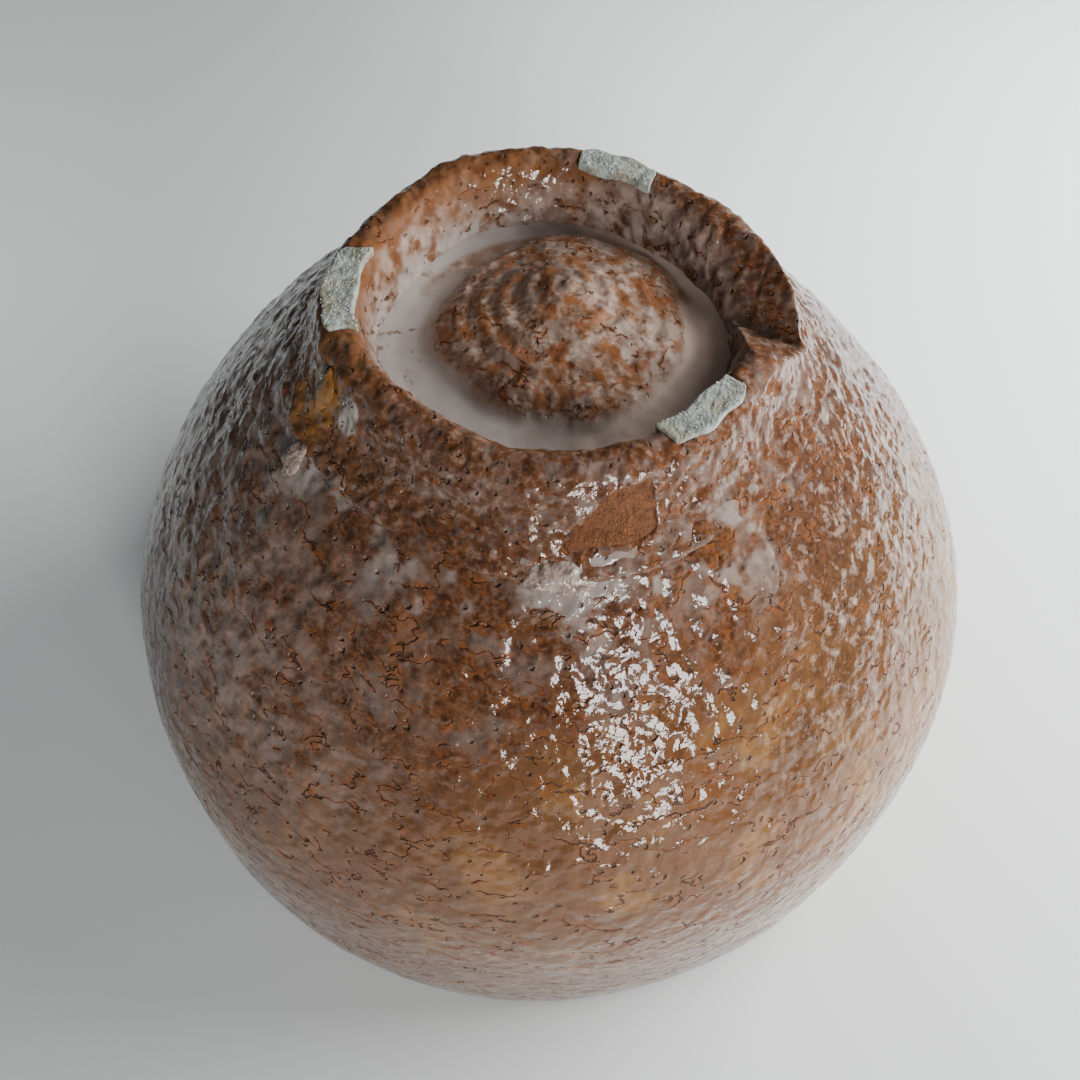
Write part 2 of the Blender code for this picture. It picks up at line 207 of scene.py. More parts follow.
class TeaBowlColours(bpy.types.PropertyGroup):
    """Colours of the glazes and the clay, scene linear."""

    chocolate: tint("Chocolate", "Darkest brown of the glaze by the foot", (0.034, 0.014, 0.007))
    umber: tint("Umber", "Middle brown of the glaze by the foot", (0.105, 0.050, 0.027))
    rust: tint("Rust", "Red-brown where the glaze breaks over the clay", (0.125, 0.046, 0.018))
    ember: tint("Ember", "Orange of the thin glaze along cracks", (0.210, 0.070, 0.020))
    ochre: tint("Ochre", "Orange tan of thin glaze", (0.155, 0.064, 0.026))
    peach: tint("Peach", "Peach of the thicker glaze towards the rim", (0.155, 0.071, 0.030))
    shell: tint("Shell", "Palest pink of the glaze", (0.270, 0.130, 0.046))
    milk: tint("Milk", "Grey white of pooled glaze", (0.400, 0.360, 0.330))
    haze: tint("Haze", "Greyish pink of the thin film over the brown glaze", (0.330, 0.240, 0.195))
    # Pink is the colour of a pinkish film; its paleness on the pool's right is painted light.
    pink: tint("Pink", "Pinkish film between the boss and the pool", (0.540, 0.410, 0.330))
    lilac: tint("Lilac", "Grey lilac of a thin milky film", (0.165, 0.120, 0.100))
    bare_clay: tint("Bare clay", "Orange brown of the fired clay", (0.210, 0.074, 0.026))
    kiln_pad: tint("Kiln pad", "Pale grey green of the kiln marks", (0.340, 0.370, 0.330))
    amber: tint("Amber", "Amber of the run of ash glaze", (0.250, 0.115, 0.030))


class TeaBowlStage(bpy.types.PropertyGroup):
    """Floor and lights."""

    floor: tint("Floor", "Colour of the pale floor", (0.855, 0.895, 0.895))
    sky: bpy.props.FloatProperty(
        name="Room light", description="Strength of the even light of the room", default=0.075,
    )
    backdrop: bpy.props.FloatProperty(
        name="Backdrop", description="Brightness of the room behind the bowl", default=0.42,
    )
    side_power: power("Side light", "Power of the soft light on the right", 3.1)
    front_power: power("Front light", "Power of the broad light above, in front", 1.0)
    window_power: power("Window light", "Power of the window in front, on the right", 16.0)


def sizes():
    return bpy.context.scene.tea_bowl_sizes


def colours():
    return bpy.context.scene.tea_bowl_colours


# Lines and turned skins


def bezier(corners, count):
    """Points along a cubic curve, both ends included."""
    t = np.linspace(0.0, 1.0, count)[:, None]
    u = 1.0 - t
    a, b, c, d = (np.array(corner) for corner in corners)
    return u**3 * a + 3 * u * u * t * b + 3 * u * t * t * c + t**3 * d


def evenly(points, spacing):
    """The line cut into even steps of about this length."""
    points = np.asarray(points, float)
    reach = np.concatenate([[0.0], np.cumsum(np.hypot(*np.diff(points, axis=0).T))])
    at = np.linspace(0.0, reach[-1], max(int(round(reach[-1] / spacing)), 2) + 1)
    return np.stack([np.interp(at, reach, points[:, axis]) for axis in (0, 1)], axis=1)


def rounded(points, spacing):
    """A smooth line that passes through these points, in even steps."""
    points = np.asarray(points, float)
    ends = np.vstack([2 * points[0] - points[1], points, 2 * points[-1] - points[-2]])
    pieces = []
    for p0, p1, p2, p3 in zip(ends, ends[1:], ends[2:], ends[3:]):
        t = np.linspace(0.0, 1.0, 12, endpoint=False)[:, None]
        bend = (2 * p0 - 5 * p1 + 4 * p2 - p3) * t**2 + (3 * p1 - p0 - 3 * p2 + p3) * t**3
        pieces.append(0.5 * (2 * p1 + (p2 - p0) * t + bend))
    return evenly(np.vstack(pieces + [points[-1:]]), spacing)


def offset_line(points, distance):
    """The line moved to the right of its direction by this distance."""
    points = np.asarray(points, float)
    along = np.gradient(points, axis=0)
    along /= np.hypot(*along.T)[:, None]
    return points + distance * np.stack([along[:, 1], -along[:, 0]], axis=1)


def outside_line():
    """Glaze surface of the wall, from under the foot's glaze down to the mouth."""
    belly = sizes().belly_radius
    shoulder = bezier(
        (
            (CREASE_RADIUS, CREASE_HEIGHT),
            (CREASE_RADIUS + SHOULDER_SLOPE[0], CREASE_HEIGHT + SHOULDER_SLOPE[1]),
            (belly, BELLY_HEIGHT + SHOULDER_RISE),
            (belly, BELLY_HEIGHT),
        ),
        60,
    )
    share = np.linspace(0.0, 1.0, 20)[1:]
    fall = BELLY_HEIGHT - GLAZE_END_HEIGHT
    lower = np.stack(
        [belly - (belly - sizes().rim_radius) * share**2, BELLY_HEIGHT - fall * share], axis=1
    )
    tucked_in = np.array([(CREASE_RADIUS - 2.6 * MM, CREASE_HEIGHT + 0.6 * MM)])
    return np.vstack([tucked_in, shoulder, lower])


def inside_line():
    """Glaze surface inside, from the mouth up to the middle of the floor."""
    wall = bezier(
        (
            (INSIDE_RADIUS, INSIDE_BELLY_HEIGHT),
            (INSIDE_RADIUS, INSIDE_BELLY_HEIGHT + INSIDE_RISE),
            INSIDE_CORNER,
            (TEA_POOL_RADIUS, FLOOR_HEIGHT),
        ),
        40,
    )
    rim = [
        (INSIDE_RIM_RADIUS, GLAZE_END_HEIGHT),
        (INSIDE_RIM_RADIUS + 0.5 * MM, 6.0 * MM),
        (INSIDE_RADIUS - 0.15 * MM, 13.0 * MM),
    ]
    pool = [
        (TEA_POOL_RADIUS - 2.0 * MM, FLOOR_HEIGHT + 0.75 * TEA_POOL_DEPTH),
        (TEA_POOL_RADIUS - 6.0 * MM, FLOOR_HEIGHT + TEA_POOL_DEPTH),
        (0.0, FLOOR_HEIGHT + TEA_POOL_DEPTH),
    ]
    return np.vstack([rim, wall, pool])


def foot_line():
    """Glaze surface of the foot ring, from its inner foot up over the lip and down outside."""
    inner_foot = [
        (RECESS_RADIUS - 0.4 * MM, SEAT_HEIGHT + 0.6 * MM),
        (21.2 * MM, SEAT_HEIGHT + 2.4 * MM),
    ]
    lip = [(radius * MM, FOOT_TOP - depth * MM) for radius, depth in FOOT_LIP]
    skirt = [(radius * MM, SEAT_HEIGHT + height * MM) for radius, height in FOOT_SKIRT]
    return np.array(inner_foot + lip + skirt)


def boss_height(radius):
    """Height of the recess's clay over its seat at this distance from the boss's middle."""
    share = np.clip(radius / BOSS_RADIUS, 0.0, 1.0)
    return BOSS_STEP * smooth_step(0.0, 0.22, 1.0 - share) + BOSS_CONE * (1.0 - share)


def towards(direction):
    """Unit step along this direction round the bowl."""
    angle = math.radians(direction)
    return math.cos(angle), math.sin(angle)


def smooth_step(low, high, value):
    share = np.clip((value - low) / (high - low), 0.0, 1.0)
    return share * share * (3.0 - 2.0 * share)


def stray(angle, amount, waves, direction):
    return amount * np.cos(waves * (angle - math.radians(direction)))


def hand_thrown(points):
    """Where points of the true round go in the slightly uneven, hand-thrown bowl."""
    x, y, z = points.T
    radius = np.hypot(x, y)
    angle = np.arctan2(y, x)
    foot = smooth_step(70.0 * MM, 81.0 * MM, z)
    belly = stray(angle, *BELLY_STRAY) * np.minimum(radius / BELLY_RADIUS, 1.0) ** 2
    swell, direction, width = RING_SWELL
    swell = swell * np.exp(-(((angle - math.radians(direction)) / math.radians(width)) ** 2))
    ring = (stray(angle, *RING_STRAY) + swell) * np.minimum(radius / RING_RADIUS, 1.0) ** 2
    stretch = 1.0 + ((1.0 - foot) * belly + foot * ring) / np.maximum(radius, MM)
    return np.stack([x * stretch, y * stretch, z], axis=1)


def read_points(mesh):
    found = np.empty(len(mesh.vertices) * 3, np.float32)
    mesh.vertices.foreach_get("co", found)
    return found.reshape(-1, 3).astype(float)


def write_points(mesh, points):
    mesh.vertices.foreach_set("co", points.astype(np.float32).ravel())
    mesh.update()


def throw(obj):
    """Gives a turned piece the uneven shape of the hand-thrown bowl, and hands back its points."""
    points = hand_thrown(read_points(obj.data))
    write_points(obj.data, points)
    return points


def new_object(name, data):
    obj = bpy.data.objects.new(name, data)
    bpy.context.scene.collection.objects.link(obj)
    return obj


def mesh_from(name, shape):
    mesh = bpy.data.meshes.new(name)
    shape.to_mesh(mesh)
    shape.free()
    return mesh


def turned(name, line, steps, closed):
    """A skin turned about Z. A closed line makes a ring, and an open one ends on the axis."""
    angles = np.arange(steps) * math.tau / steps
    rows = len(line)
    r, z = line[:, :1], line[:, 1:]
    points = np.stack(
        [r * np.cos(angles), r * np.sin(angles), np.repeat(z, steps, axis=1)], axis=-1
    )
    last = rows if closed else rows - 1
    row, column = np.meshgrid(np.arange(last), np.arange(steps), indexing="ij")
    below, beside = (row + 1) % rows, (column + 1) % steps
    corners = ((row, column), (below, column), (below, beside), (row, beside))
    faces = np.stack([(a * steps + b).ravel() for a, b in corners], axis=1)
    mesh = bpy.data.meshes.new(name)
    mesh.from_pydata(points.reshape(-1, 3).tolist(), [], faces.tolist())
    if not closed:
        shape = bmesh.new()
        shape.from_mesh(mesh)
        poles = [v for v in shape.verts if math.hypot(v.co.x, v.co.y) < 0.001 * MM]
        bmesh.ops.remove_doubles(shape, verts=poles, dist=0.002 * MM)
        shape.to_mesh(mesh)
        shape.free()
    return new_object(name, mesh)


def flat_prism(name, outline, height):
    """A flat outline in the XY plane, raised from z = 0."""
    shape = bmesh.new()
    face = shape.faces.new([shape.verts.new((x, y, 0.0)) for x, y in outline])
    grown = bmesh.ops.extrude_face_region(shape, geom=[face])
    top = [item for item in grown["geom"] if isinstance(item, bmesh.types.BMVert)]
    bmesh.ops.translate(shape, vec=(0.0, 0.0, height), verts=top)
    bmesh.ops.recalc_face_normals(shape, faces=shape.faces)
    return new_object(name, mesh_from(name, shape))


def settle(obj):
    """Turns the object's modifiers and its place into a plain mesh at the origin."""
    bpy.context.view_layer.update()
    graph = bpy.context.evaluated_depsgraph_get()
    made = bpy.data.meshes.new_from_object(obj.evaluated_get(graph), depsgraph=graph)
    made.transform(obj.matrix_world)
    old = obj.data
    obj.modifiers.clear()
    obj.data = made
    obj.matrix_world = Matrix.Identity(4)
    bpy.data.meshes.remove(old)
    made.name = obj.name
    return made


def subtract(obj, cutter):
    boolean = obj.modifiers.new("cut by " + cutter.name, "BOOLEAN")
    boolean.operation = "DIFFERENCE"
    boolean.solver = "EXACT"
    boolean.object = cutter
    cutter.hide_render = True
    return cutter


def wear_smooth(obj, voxel, passes):
    """Gives a solid an even skin of this voxel size, wears its edges round and settles it."""
    remesh = obj.modifiers.new("even skin", "REMESH")
    remesh.mode = "VOXEL"
    remesh.voxel_size = voxel
    wear = obj.modifiers.new("worn edges", "SMOOTH")
    wear.factor = 0.5
    wear.iterations = passes
    settle(obj)


def put_mask(mesh, name, values):
    layer = mesh.attributes.new(name, "FLOAT", "POINT")
    layer.data.foreach_set("value", np.asarray(values, np.float32))


# Node trees


class Tree:
    """Adds nodes to a shader or a geometry tree and links them as it goes."""

    def __init__(self, tree):
        self.tree = tree

    def node(self, kind, inputs=(), **settings):
        made = self.tree.nodes.new(kind)
        for key, value in settings.items():
            setattr(made, key, value)
        for key, value in dict(inputs).items():
            self.feed(made.inputs[key], value)
        return made

    def feed(self, socket, value):
        if isinstance(value, bpy.types.NodeSocket):
            self.tree.links.new(value, socket)
        elif socket.type == "RGBA":
            socket.default_value = (*value[:3], 1.0)
        else:
            socket.default_value = value

    def math(self, operation, a, b=0.0):
        return self.node("ShaderNodeMath", {0: a, 1: b}, operation=operation).outputs[0]

    def plus(self, a, b):
        return self.math("ADD", a, b)

    def less(self, a, b):
        return self.math("SUBTRACT", a, b)

    def times(self, a, b):
        return self.math("MULTIPLY", a, b)

    def vector(self, operation, a, b):
        made = self.node("ShaderNodeVectorMath", {0: a}, operation=operation)
        self.feed(made.inputs["Scale" if operation == "SCALE" else 1], b)
        return made.outputs[0]

    def band(self, value, low, high, start=0.0, end=1.0):
        """From start to end as the value goes from low to high, easing at both ends."""
        made = self.node(
            "ShaderNodeMapRange", {0: value, 1: low, 2: high, 3: start, 4: end},
            interpolation_type="SMOOTHSTEP",
        )
        return made.outputs[0]

    def blend(self, share, a, b):
        return self.node("ShaderNodeMix", {0: share, 6: a, 7: b}, data_type="RGBA").outputs[2]

    def attribute(self, name, kind):
        return self.node("GeometryNodeInputNamedAttribute", {"Name": name}, data_type=kind).outputs[0]

    def dressed(self, geometry, material, where=True):
        """Makes instances real and sets the material on the chosen faces, to end a geometry tree."""
        whole = self.node("GeometryNodeRealizeInstances", {0: geometry})
        inputs = {"Geometry": whole.outputs[0], "Selection": where, "Material": material}
        return self.node("GeometryNodeSetMaterial", inputs).outputs[0]

    def shifted(self, place, seed):
        """The place moved by an amount of the seed's own, so that each seed has its own pattern."""
        return self.vector("ADD", place, self.vector("SCALE", (0.013, 0.029, 0.017), seed))

    def pattern(self, kind, place, size, seed, inputs, **settings):
        scale = 1.0 / size if isinstance(size, float) else self.math("DIVIDE", 1.0, size)
        sockets = {"Vector": self.shifted(place, seed), "Scale": scale, **inputs}
        return self.node(kind, sockets, **settings).outputs

    def noise(self, place, size, detail=2.0, roughness=0.5, seed=SEED, output=0):
        """Cloudy noise whose patches are about this size, around 0.5."""
        inputs = {"Detail": detail, "Roughness": roughness}
        return self.pattern("ShaderNodeTexNoise", place, size, seed, inputs)[output]

    def cells(self, place, size, feature, seed, **inputs):
        """Rounded cells of about this size, each with its colour and the distance from its middle."""
        return self.pattern("ShaderNodeTexVoronoi", place, size, seed, inputs, feature=feature)

    def swayed(self, place, size, distance, seed=SEED):
        """The place moved about by cloudy noise of this size, by about half this distance at most."""
        sway = self.noise(place, size, seed=seed, output="Color")
        sway = self.vector("SUBTRACT", sway, (0.5, 0.5, 0.5))
        return self.vector("ADD", place, self.vector("SCALE", sway, distance))


# Socket types of the node groups
FLOAT = "NodeSocketFloat"
WHOLE = "NodeSocketInt"
COLOUR = "NodeSocketColor"
VECTOR = "NodeSocketVector"
GEOMETRY = "NodeSocketGeometry"
MATERIAL = "NodeSocketMaterial"


def new_group(name, kind, inputs, outputs):
    """A node group with these sockets: name, type and default of inputs, name and type of outputs."""
    tree = bpy.data.node_groups.new(name, kind)
    for label, socket, default in inputs:
        made = tree.interface.new_socket(label, in_out="INPUT", socket_type=socket)
        if default is not None:
            made.default_value = default
    for label, socket in outputs:
        tree.interface.new_socket(label, in_out="OUTPUT", socket_type=socket)
    graph = Tree(tree)
    return graph, graph.node("NodeGroupInput").outputs, graph.node("NodeGroupOutput").inputs


def relief_tree():
    """Raises a skin into swells and crawled beads where its relief mask is set."""
    g, given, result = new_group(
        "glaze relief", "GeometryNodeTree",
        (
            ("Geometry", GEOMETRY, None),
            ("Bead Size", FLOAT, 2.3 * MM),
            ("Bead Height", FLOAT, 0.4 * MM),
            ("Swell Size", FLOAT, SWELL_SIZE),
            ("Swell Height", FLOAT, 0.3 * MM),
            ("Seed", FLOAT, SEED),
            ("Material", MATERIAL, None),
        ),
        (("Geometry", GEOMETRY),),
    )
    place = g.node("GeometryNodeInputPosition").outputs[0]
    seed = given["Seed"]
    bent = g.swayed(place, g.times(given["Bead Size"], 1.6), 2.2 * MM, seed)
    beads = g.cells(bent, given["Bead Size"], "SMOOTH_F1", seed, Smoothness=0.45)
    fine = g.noise(bent, g.times(given["Bead Size"], 0.8), seed=seed)
    swell = g.noise(place, given["Swell Size"], 1.0, seed=seed)
    bead = g.plus(g.less(0.55, beads["Distance"]), g.less(fine, 0.5))
    swell = g.times(g.less(swell, 0.5), given["Swell Height"])
    height = g.plus(g.times(bead, given["Bead Height"]), swell)
    height = g.times(height, g.attribute("relief", "FLOAT"))
    offset = g.vector("SCALE", g.node("GeometryNodeInputNormal").outputs[0], height)
    moved = g.node("GeometryNodeSetPosition", {"Geometry": given["Geometry"], "Offset": offset})
    g.feed(result[0], g.dressed(moved.outputs[0], given["Material"]))
    return g.tree


def grit_tree():
    """Strews small angular grains over a piece where its bare mask is set."""
    g, given, result = new_group(
        "grit grains", "GeometryNodeTree",
        (
            ("Geometry", GEOMETRY, None),
            ("Grain Size", FLOAT, 0.13 * MM),
            ("Grains per Area", FLOAT, 1500000.0),
            ("Seed", WHOLE, GRIT_SEED),
            ("Material", MATERIAL, None),
        ),
        (("Geometry", GEOMETRY),),
    )
    density = g.times(g.attribute("bare", "FLOAT"), given["Grains per Area"])
    strewn = g.node(
        "GeometryNodeDistributePointsOnFaces",
        {"Mesh": given["Geometry"], "Density": density, "Seed": given["Seed"]},
    )
    ball = g.node("GeometryNodeMeshIcoSphere", {"Radius": given["Grain Size"], "Subdivisions": 1})
    grain = g.node(
        "GeometryNodeStoreNamedAttribute",
        {"Geometry": ball.outputs["Mesh"], "Name": "grain", "Value": True},
        data_type="BOOLEAN", domain="FACE",
    )
    spin, stretch = [
        g.node(
            "FunctionNodeRandomValue", {0: least, 1: most, "Seed": given["Seed"]},
            data_type="FLOAT_VECTOR",
        ).outputs[0]
        for least, most in (((0.0,) * 3, (math.tau,) * 3), ((0.5, 0.5, 0.5), (1.7, 1.3, 1.0)))
    ]
    placed = g.node(
        "GeometryNodeInstanceOnPoints",
        {
            "Points": strewn.outputs["Points"], "Instance": grain.outputs[0], "Rotation": spin,
            "Scale": stretch,
        },
    )
    both = g.node("GeometryNodeJoinGeometry")
    g.tree.links.new(placed.outputs[0], both.inputs[0])
    g.tree.links.new(given["Geometry"], both.inputs[0])
    is_grain = g.attribute("grain", "BOOLEAN")
    g.feed(result[0], g.dressed(both.outputs[0], given["Material"], is_grain))
    return g.tree


def run_tree(obj, tree, **inputs):
    """Puts the tree on the object with these inputs and turns the result into its mesh."""
    modifier = obj.modifiers.new(tree.name, "NODES")
    modifier.node_group = tree
    for item in tree.interface.items_tree:
        label = item.name.replace(" ", "_").lower()
        if item.in_out == "INPUT" and label in inputs:
            modifier[item.identifier] = inputs[label]
    return settle(obj)


def shared_tree(name, build):
    return bpy.data.node_groups.get(name) or build()


def raise_relief(obj, mask, material, seed=SEED, bead=1.0, swell=0.3 * MM, bead_size=1.0):
    """Gives a skin its glaze relief; mask holds one value for each of its points."""
    put_mask(obj.data, "relief", mask)
    made = run_tree(
        obj, shared_tree("glaze relief", relief_tree), bead_size=sizes().bead_size * bead_size,
        bead_height=sizes().bead_height * bead, swell_size=SWELL_SIZE, swell_height=swell,
        seed=seed, material=material,
    )
    made.attributes.remove(made.attributes["relief"])
    made.shade_smooth()
    return made


def strew_grit(obj, mask, material, per_mm2):
    """Strews grit over the object; mask holds one value for each of its points."""
    put_mask(obj.data, "bare", mask)
    made = run_tree(
        obj, shared_tree("grit grains", grit_tree), grain_size=sizes().grain_size,
        grains_per_area=per_mm2 / MM**2, seed=GRIT_SEED, material=material,
    )
    made.attributes.remove(made.attributes["bare"])
    made.attributes.remove(made.attributes["grain"])
    return made


# Finishes


def surface_group():
    """Fine relief of the glaze: its peel, pinholes and short level cracks, as masks and a height."""
    g, given, result = new_group(
        "glaze surface", "ShaderNodeTree",
        (
            ("Vector", VECTOR, None),
            ("Bead Size", FLOAT, 2.3 * MM),
            ("Pinholes", FLOAT, 0.5),
            ("Cracks", FLOAT, 0.5),
        ),
        (("Height", FLOAT), ("Pinholes", FLOAT), ("Cracks", FLOAT), ("Halo", FLOAT)),
    )
    place = given["Vector"]
    size = given["Bead Size"]
    bent = g.swayed(place, g.times(size, 0.5), 1.2 * MM)
    peel = g.noise(place, g.times(size, 0.95), 1.0, 0.45)
    holes = g.cells(bent, g.times(size, 0.55), "F1", 7.0)
    chance = g.node("ShaderNodeSeparateColor", {0: holes["Color"]}).outputs[0]
    chosen = g.band(chance, g.less(1.0, given["Pinholes"]), 1.0, 0.0, 0.36)
    pinholes = g.band(g.less(chosen, holes["Distance"]), 0.0, 0.26)
    # A crack follows a line of equal height in noise that is drawn out level, where a second
    # noise lets it.
    level = g.vector("MULTIPLY", bent, (1.0, 1.0, 2.6))
    field = g.noise(level, g.times(size, 2.6), 2.0, 0.45, 5.0)
    away = g.math("ABSOLUTE", g.less(field, 0.5))
    where = g.noise(level, g.times(size, 1.9), 2.0, 0.5, 3.0)
    start = g.less(0.655, g.times(given["Cracks"], 0.16))
    where = g.band(where, start, g.plus(start, 0.05))
    cracks = g.times(g.band(away, 0.004, 0.016, 1.0, 0.0), where)
    halo = g.times(g.band(away, 0.018, 0.075, 1.0, 0.0), where)
    fine = g.noise(place, g.times(size, 0.2), 1.0, 0.5, 13.0)
    height = g.plus(g.times(peel, 0.62), g.times(fine, 0.055))
    height = g.less(height, g.times(pinholes, 0.5))
    height = g.less(height, g.times(cracks, 0.3))
    g.feed(result["Height"], height)
    g.feed(result["Pinholes"], pinholes)
    g.feed(result["Cracks"], cracks)
    g.feed(result["Halo"], halo)
    return g.tree


def mottle_group():
    """Three colours that break into one another in cloudy patches."""
    g, given, result = new_group(
        "glaze mottle", "ShaderNodeTree",
        (
            ("Vector", VECTOR, None),
            ("Patch Size", FLOAT, 3.0 * MM),
            ("Seed", FLOAT, SEED),
            ("Thin", COLOUR, (0.1, 0.1, 0.1, 1.0)),
            ("Middle", COLOUR, (0.2, 0.2, 0.2, 1.0)),
            ("Thick", COLOUR, (0.3, 0.3, 0.3, 1.0)),
        ),
        (("Color", COLOUR),),
    )
    patches = g.noise(given["Vector"], given["Patch Size"], 5.0, 0.62, given["Seed"])
    low = g.blend(g.band(patches, 0.38, 0.52), given["Thin"], given["Middle"])
    g.feed(result["Color"], g.blend(g.band(patches, 0.50, 0.66), low, given["Thick"]))
    return g.tree


class Finish(Tree):
    """One material: its Object coordinates, its shader and the shared effects.

    The sizes of clouds, patches, mottle, spots and spans are in millimetres.
    """

    def __init__(self, name):
        made = bpy.data.materials.new(name)
        made.use_nodes = True
        super().__init__(made.node_tree)
        self.material = made
        self.shader = made.node_tree.nodes["Principled BSDF"]
        self.place = self.node("ShaderNodeTexCoord").outputs["Object"]
        parts = self.node("ShaderNodeSeparateXYZ", {0: self.place})
        self.x, self.y, self.z = parts.outputs

    def group(self, name, build, **inputs):
        made = self.node("ShaderNodeGroup", node_tree=shared_tree(name, build))
        self.feed(made.inputs["Vector"], self.place)
        for key, value in inputs.items():
            self.feed(made.inputs[key.replace("_", " ").title()], value)
        return made.outputs

    def surface(self, bead_size, pinholes, cracks):
        return self.group(
            "glaze surface", surface_group, bead_size=bead_size, pinholes=pinholes, cracks=cracks
        )

    def mottle(self, patch_size, seed, thin, middle, thick):
        return self.group(
            "glaze mottle", mottle_group, patch_size=patch_size * MM, seed=seed, thin=thin,
            middle=middle, thick=thick,
        )["Color"]

    def length_of(self, vector):
        return self.node("ShaderNodeVectorMath", {0: vector}, operation="LENGTH").outputs["Value"]

    def ring_radius(self):
        """Distance from the bowl's axis."""
        return self.length_of(self.vector("MULTIPLY", self.place, (1.0, 1.0, 0.0)))

    def cloud(self, size, detail=2.0, roughness=0.5, seed=SEED):
        """Cloudy noise over the piece, around 0.5."""
        return self.noise(self.place, size * MM, detail, roughness, seed)

    def drift(self, size, detail, roughness, seed):
        """Cloudy noise over the piece, around 0."""
        return self.less(self.cloud(size, detail, roughness, seed), 0.5)

    def span(self, value, low, high, start=0.0, end=1.0):
        """A band whose ends are in millimetres."""
        return self.band(value, low * MM, high * MM, start, end)

    def vary(self, cloud, low, high):
        """Makes cloudy noise run from low to high."""
        return self.band(cloud, 0.3, 0.7, low, high)

    def over(self, base, top, mask, share):
        """Lays the top colour over the base where the mask is set, at most by this share."""
        return self.blend(self.times(mask, share), base, top)

    def patchy(self, size, seed, low, high, detail=3.0):
        """Soft-edged patches of about this size."""
        return self.band(self.cloud(size, detail, 0.55, seed), low, high)

    def spot(self, middle, size, seed):
        """A ragged patch of this size round one place, both in millimetres."""
        centre = tuple(value * MM for value in middle)
        size = size * MM
        away = self.length_of(self.vector("SUBTRACT", self.place, centre))
        away = self.plus(away, self.times(self.drift(2.5, 3.0, 0.6, seed), 1.6 * size))
        return self.band(away, 1.15 * size, 0.75 * size)

    def darken_flaws(self, colour, flaws, strength=0.8):
        """Orange halos by the cracks, rusty pinholes and dark brown in the cracks."""
        colour = self.over(colour, colours().ember, flaws["Halo"], 0.65)
        colour = self.over(colour, colours().umber, flaws["Pinholes"], 0.5)
        return self.over(colour, CRACK_BROWN, flaws["Cracks"], strength)

    def dull_flaws(self, gloss, flaws):
        """Cracks and pinholes are dry inside, so they take no reflection."""
        dry = self.math("MAXIMUM", flaws["Cracks"], flaws["Pinholes"])
        return self.math("MAXIMUM", gloss, self.times(dry, 0.6))

    def finish(self, colour, roughness, height, depth):
        self.feed(self.shader.inputs["Base Color"], colour)
        self.feed(self.shader.inputs["Roughness"], roughness)
        self.shader.inputs["IOR"].default_value = GLAZE_IOR
        bump = self.node("ShaderNodeBump", {"Height": height, "Strength": 1.0, "Distance": depth})
        self.feed(self.shader.inputs["Normal"], bump.outputs[0])
        return self.material


def wall_glaze_finish():
    """Chocolate and rust by the foot, breaking into peach and ochre towards the mouth."""
    f, c = Finish("Wall glaze"), colours()
    flaws = f.surface(sizes().bead_size, pinholes=0.55, cracks=0.95)
    brown = f.mottle(1.9, 2.0, c.chocolate, c.rust, c.umber)
    brown = f.blend(0.55, brown, f.mottle(0.7, 3.0, c.chocolate, c.rust, c.lilac))
    brown = f.over(brown, c.ember, f.patchy(1.1, 37.0, 0.58, 0.64), 0.6)
    brown = f.over(brown, c.lilac, f.patchy(5.5, 21.0, 0.46, 0.70, 4.0), 0.8)
    light = f.mottle(9.0, 4.0, c.ochre, c.peach, c.shell)
    light = f.over(light, c.ochre, f.patchy(2.0, 6.0, 0.50, 0.72), 0.4)
    # Painted shade: the pale glaze turns towards umber on the left, away from the side light.
    light = f.blend(f.span(f.x, 26.0, -26.0, 0.0, 0.52), light, c.umber)
    # Painted light: the right side, towards the side light, is painted paler with shell.
    painted_light_right = f.span(f.x, 22.0, 52.0)
    # Painted shade: the pale glaze darkens to umber towards the mouth, under the belly, except on the
    # right.
    painted_shade_low = f.times(f.span(f.z, 36.0, 12.0), f.less(1.0, painted_light_right))
    light = f.over(light, c.umber, painted_shade_low, 0.72)
    light = f.over(light, c.shell, painted_light_right, 0.5)
    reach = f.less(f.z, f.times(f.x, 0.318))
    reach = f.plus(reach, f.times(f.y, 0.2215))
    reach = f.plus(reach, f.times(f.drift(12.0, 3.0, 0.55, 8.0), 40.0 * MM))
    reach = f.plus(reach, f.times(f.drift(2.4, 3.0, 0.6, 9.0), 30.0 * MM))
    colour = f.blend(f.span(reach, 45.0, 65.0), light, brown)
    # A greyish-pink film in patches on the left shoulder, laid on strongly there as painted light that
    # lifts the shaded left side.
    haze = f.times(f.span(f.x, -8.0, -44.0), f.patchy(3.0, 35.0, 0.34, 0.62))
    haze = f.times(haze, f.span(f.z, 42.0, 62.0))
    colour = f.over(colour, c.haze, haze, 0.65)
    milk = f.times(f.patchy(6.0, 31.0, 0.50, 0.62), f.span(f.z, 70.0, 79.0))
    colour = f.over(colour, c.milk, milk, 0.45)
    for middle, size, seed in (((2.6, -33.5, 79.0), 5.0, 32.0), ((-30.0, -17.5, 78.5), 4.5, 33.0)):
        colour = f.over(colour, c.milk, f.spot(middle, size, seed), 0.5)
    colour = f.over(colour, c.rust, f.spot((36.0, -9.6, 75.5), 5.0, 34.0), 0.8)
    # Painted shade: the right shoulder is darkened with a brown mottle.
    shade = f.times(f.span(f.x, 20.0, 34.0), f.span(f.z, 44.0, 62.0))
    shaded = f.mottle(1.6, 38.0, c.umber, c.chocolate, c.haze)
    colour = f.over(colour, shaded, shade, 0.6)
    colour = f.darken_flaws(colour, flaws)
    gloss = f.vary(f.cloud(4.0), 0.05, 0.14)
    return f.finish(colour, f.dull_flaws(gloss, flaws), flaws["Height"], depth=0.95 * MM)


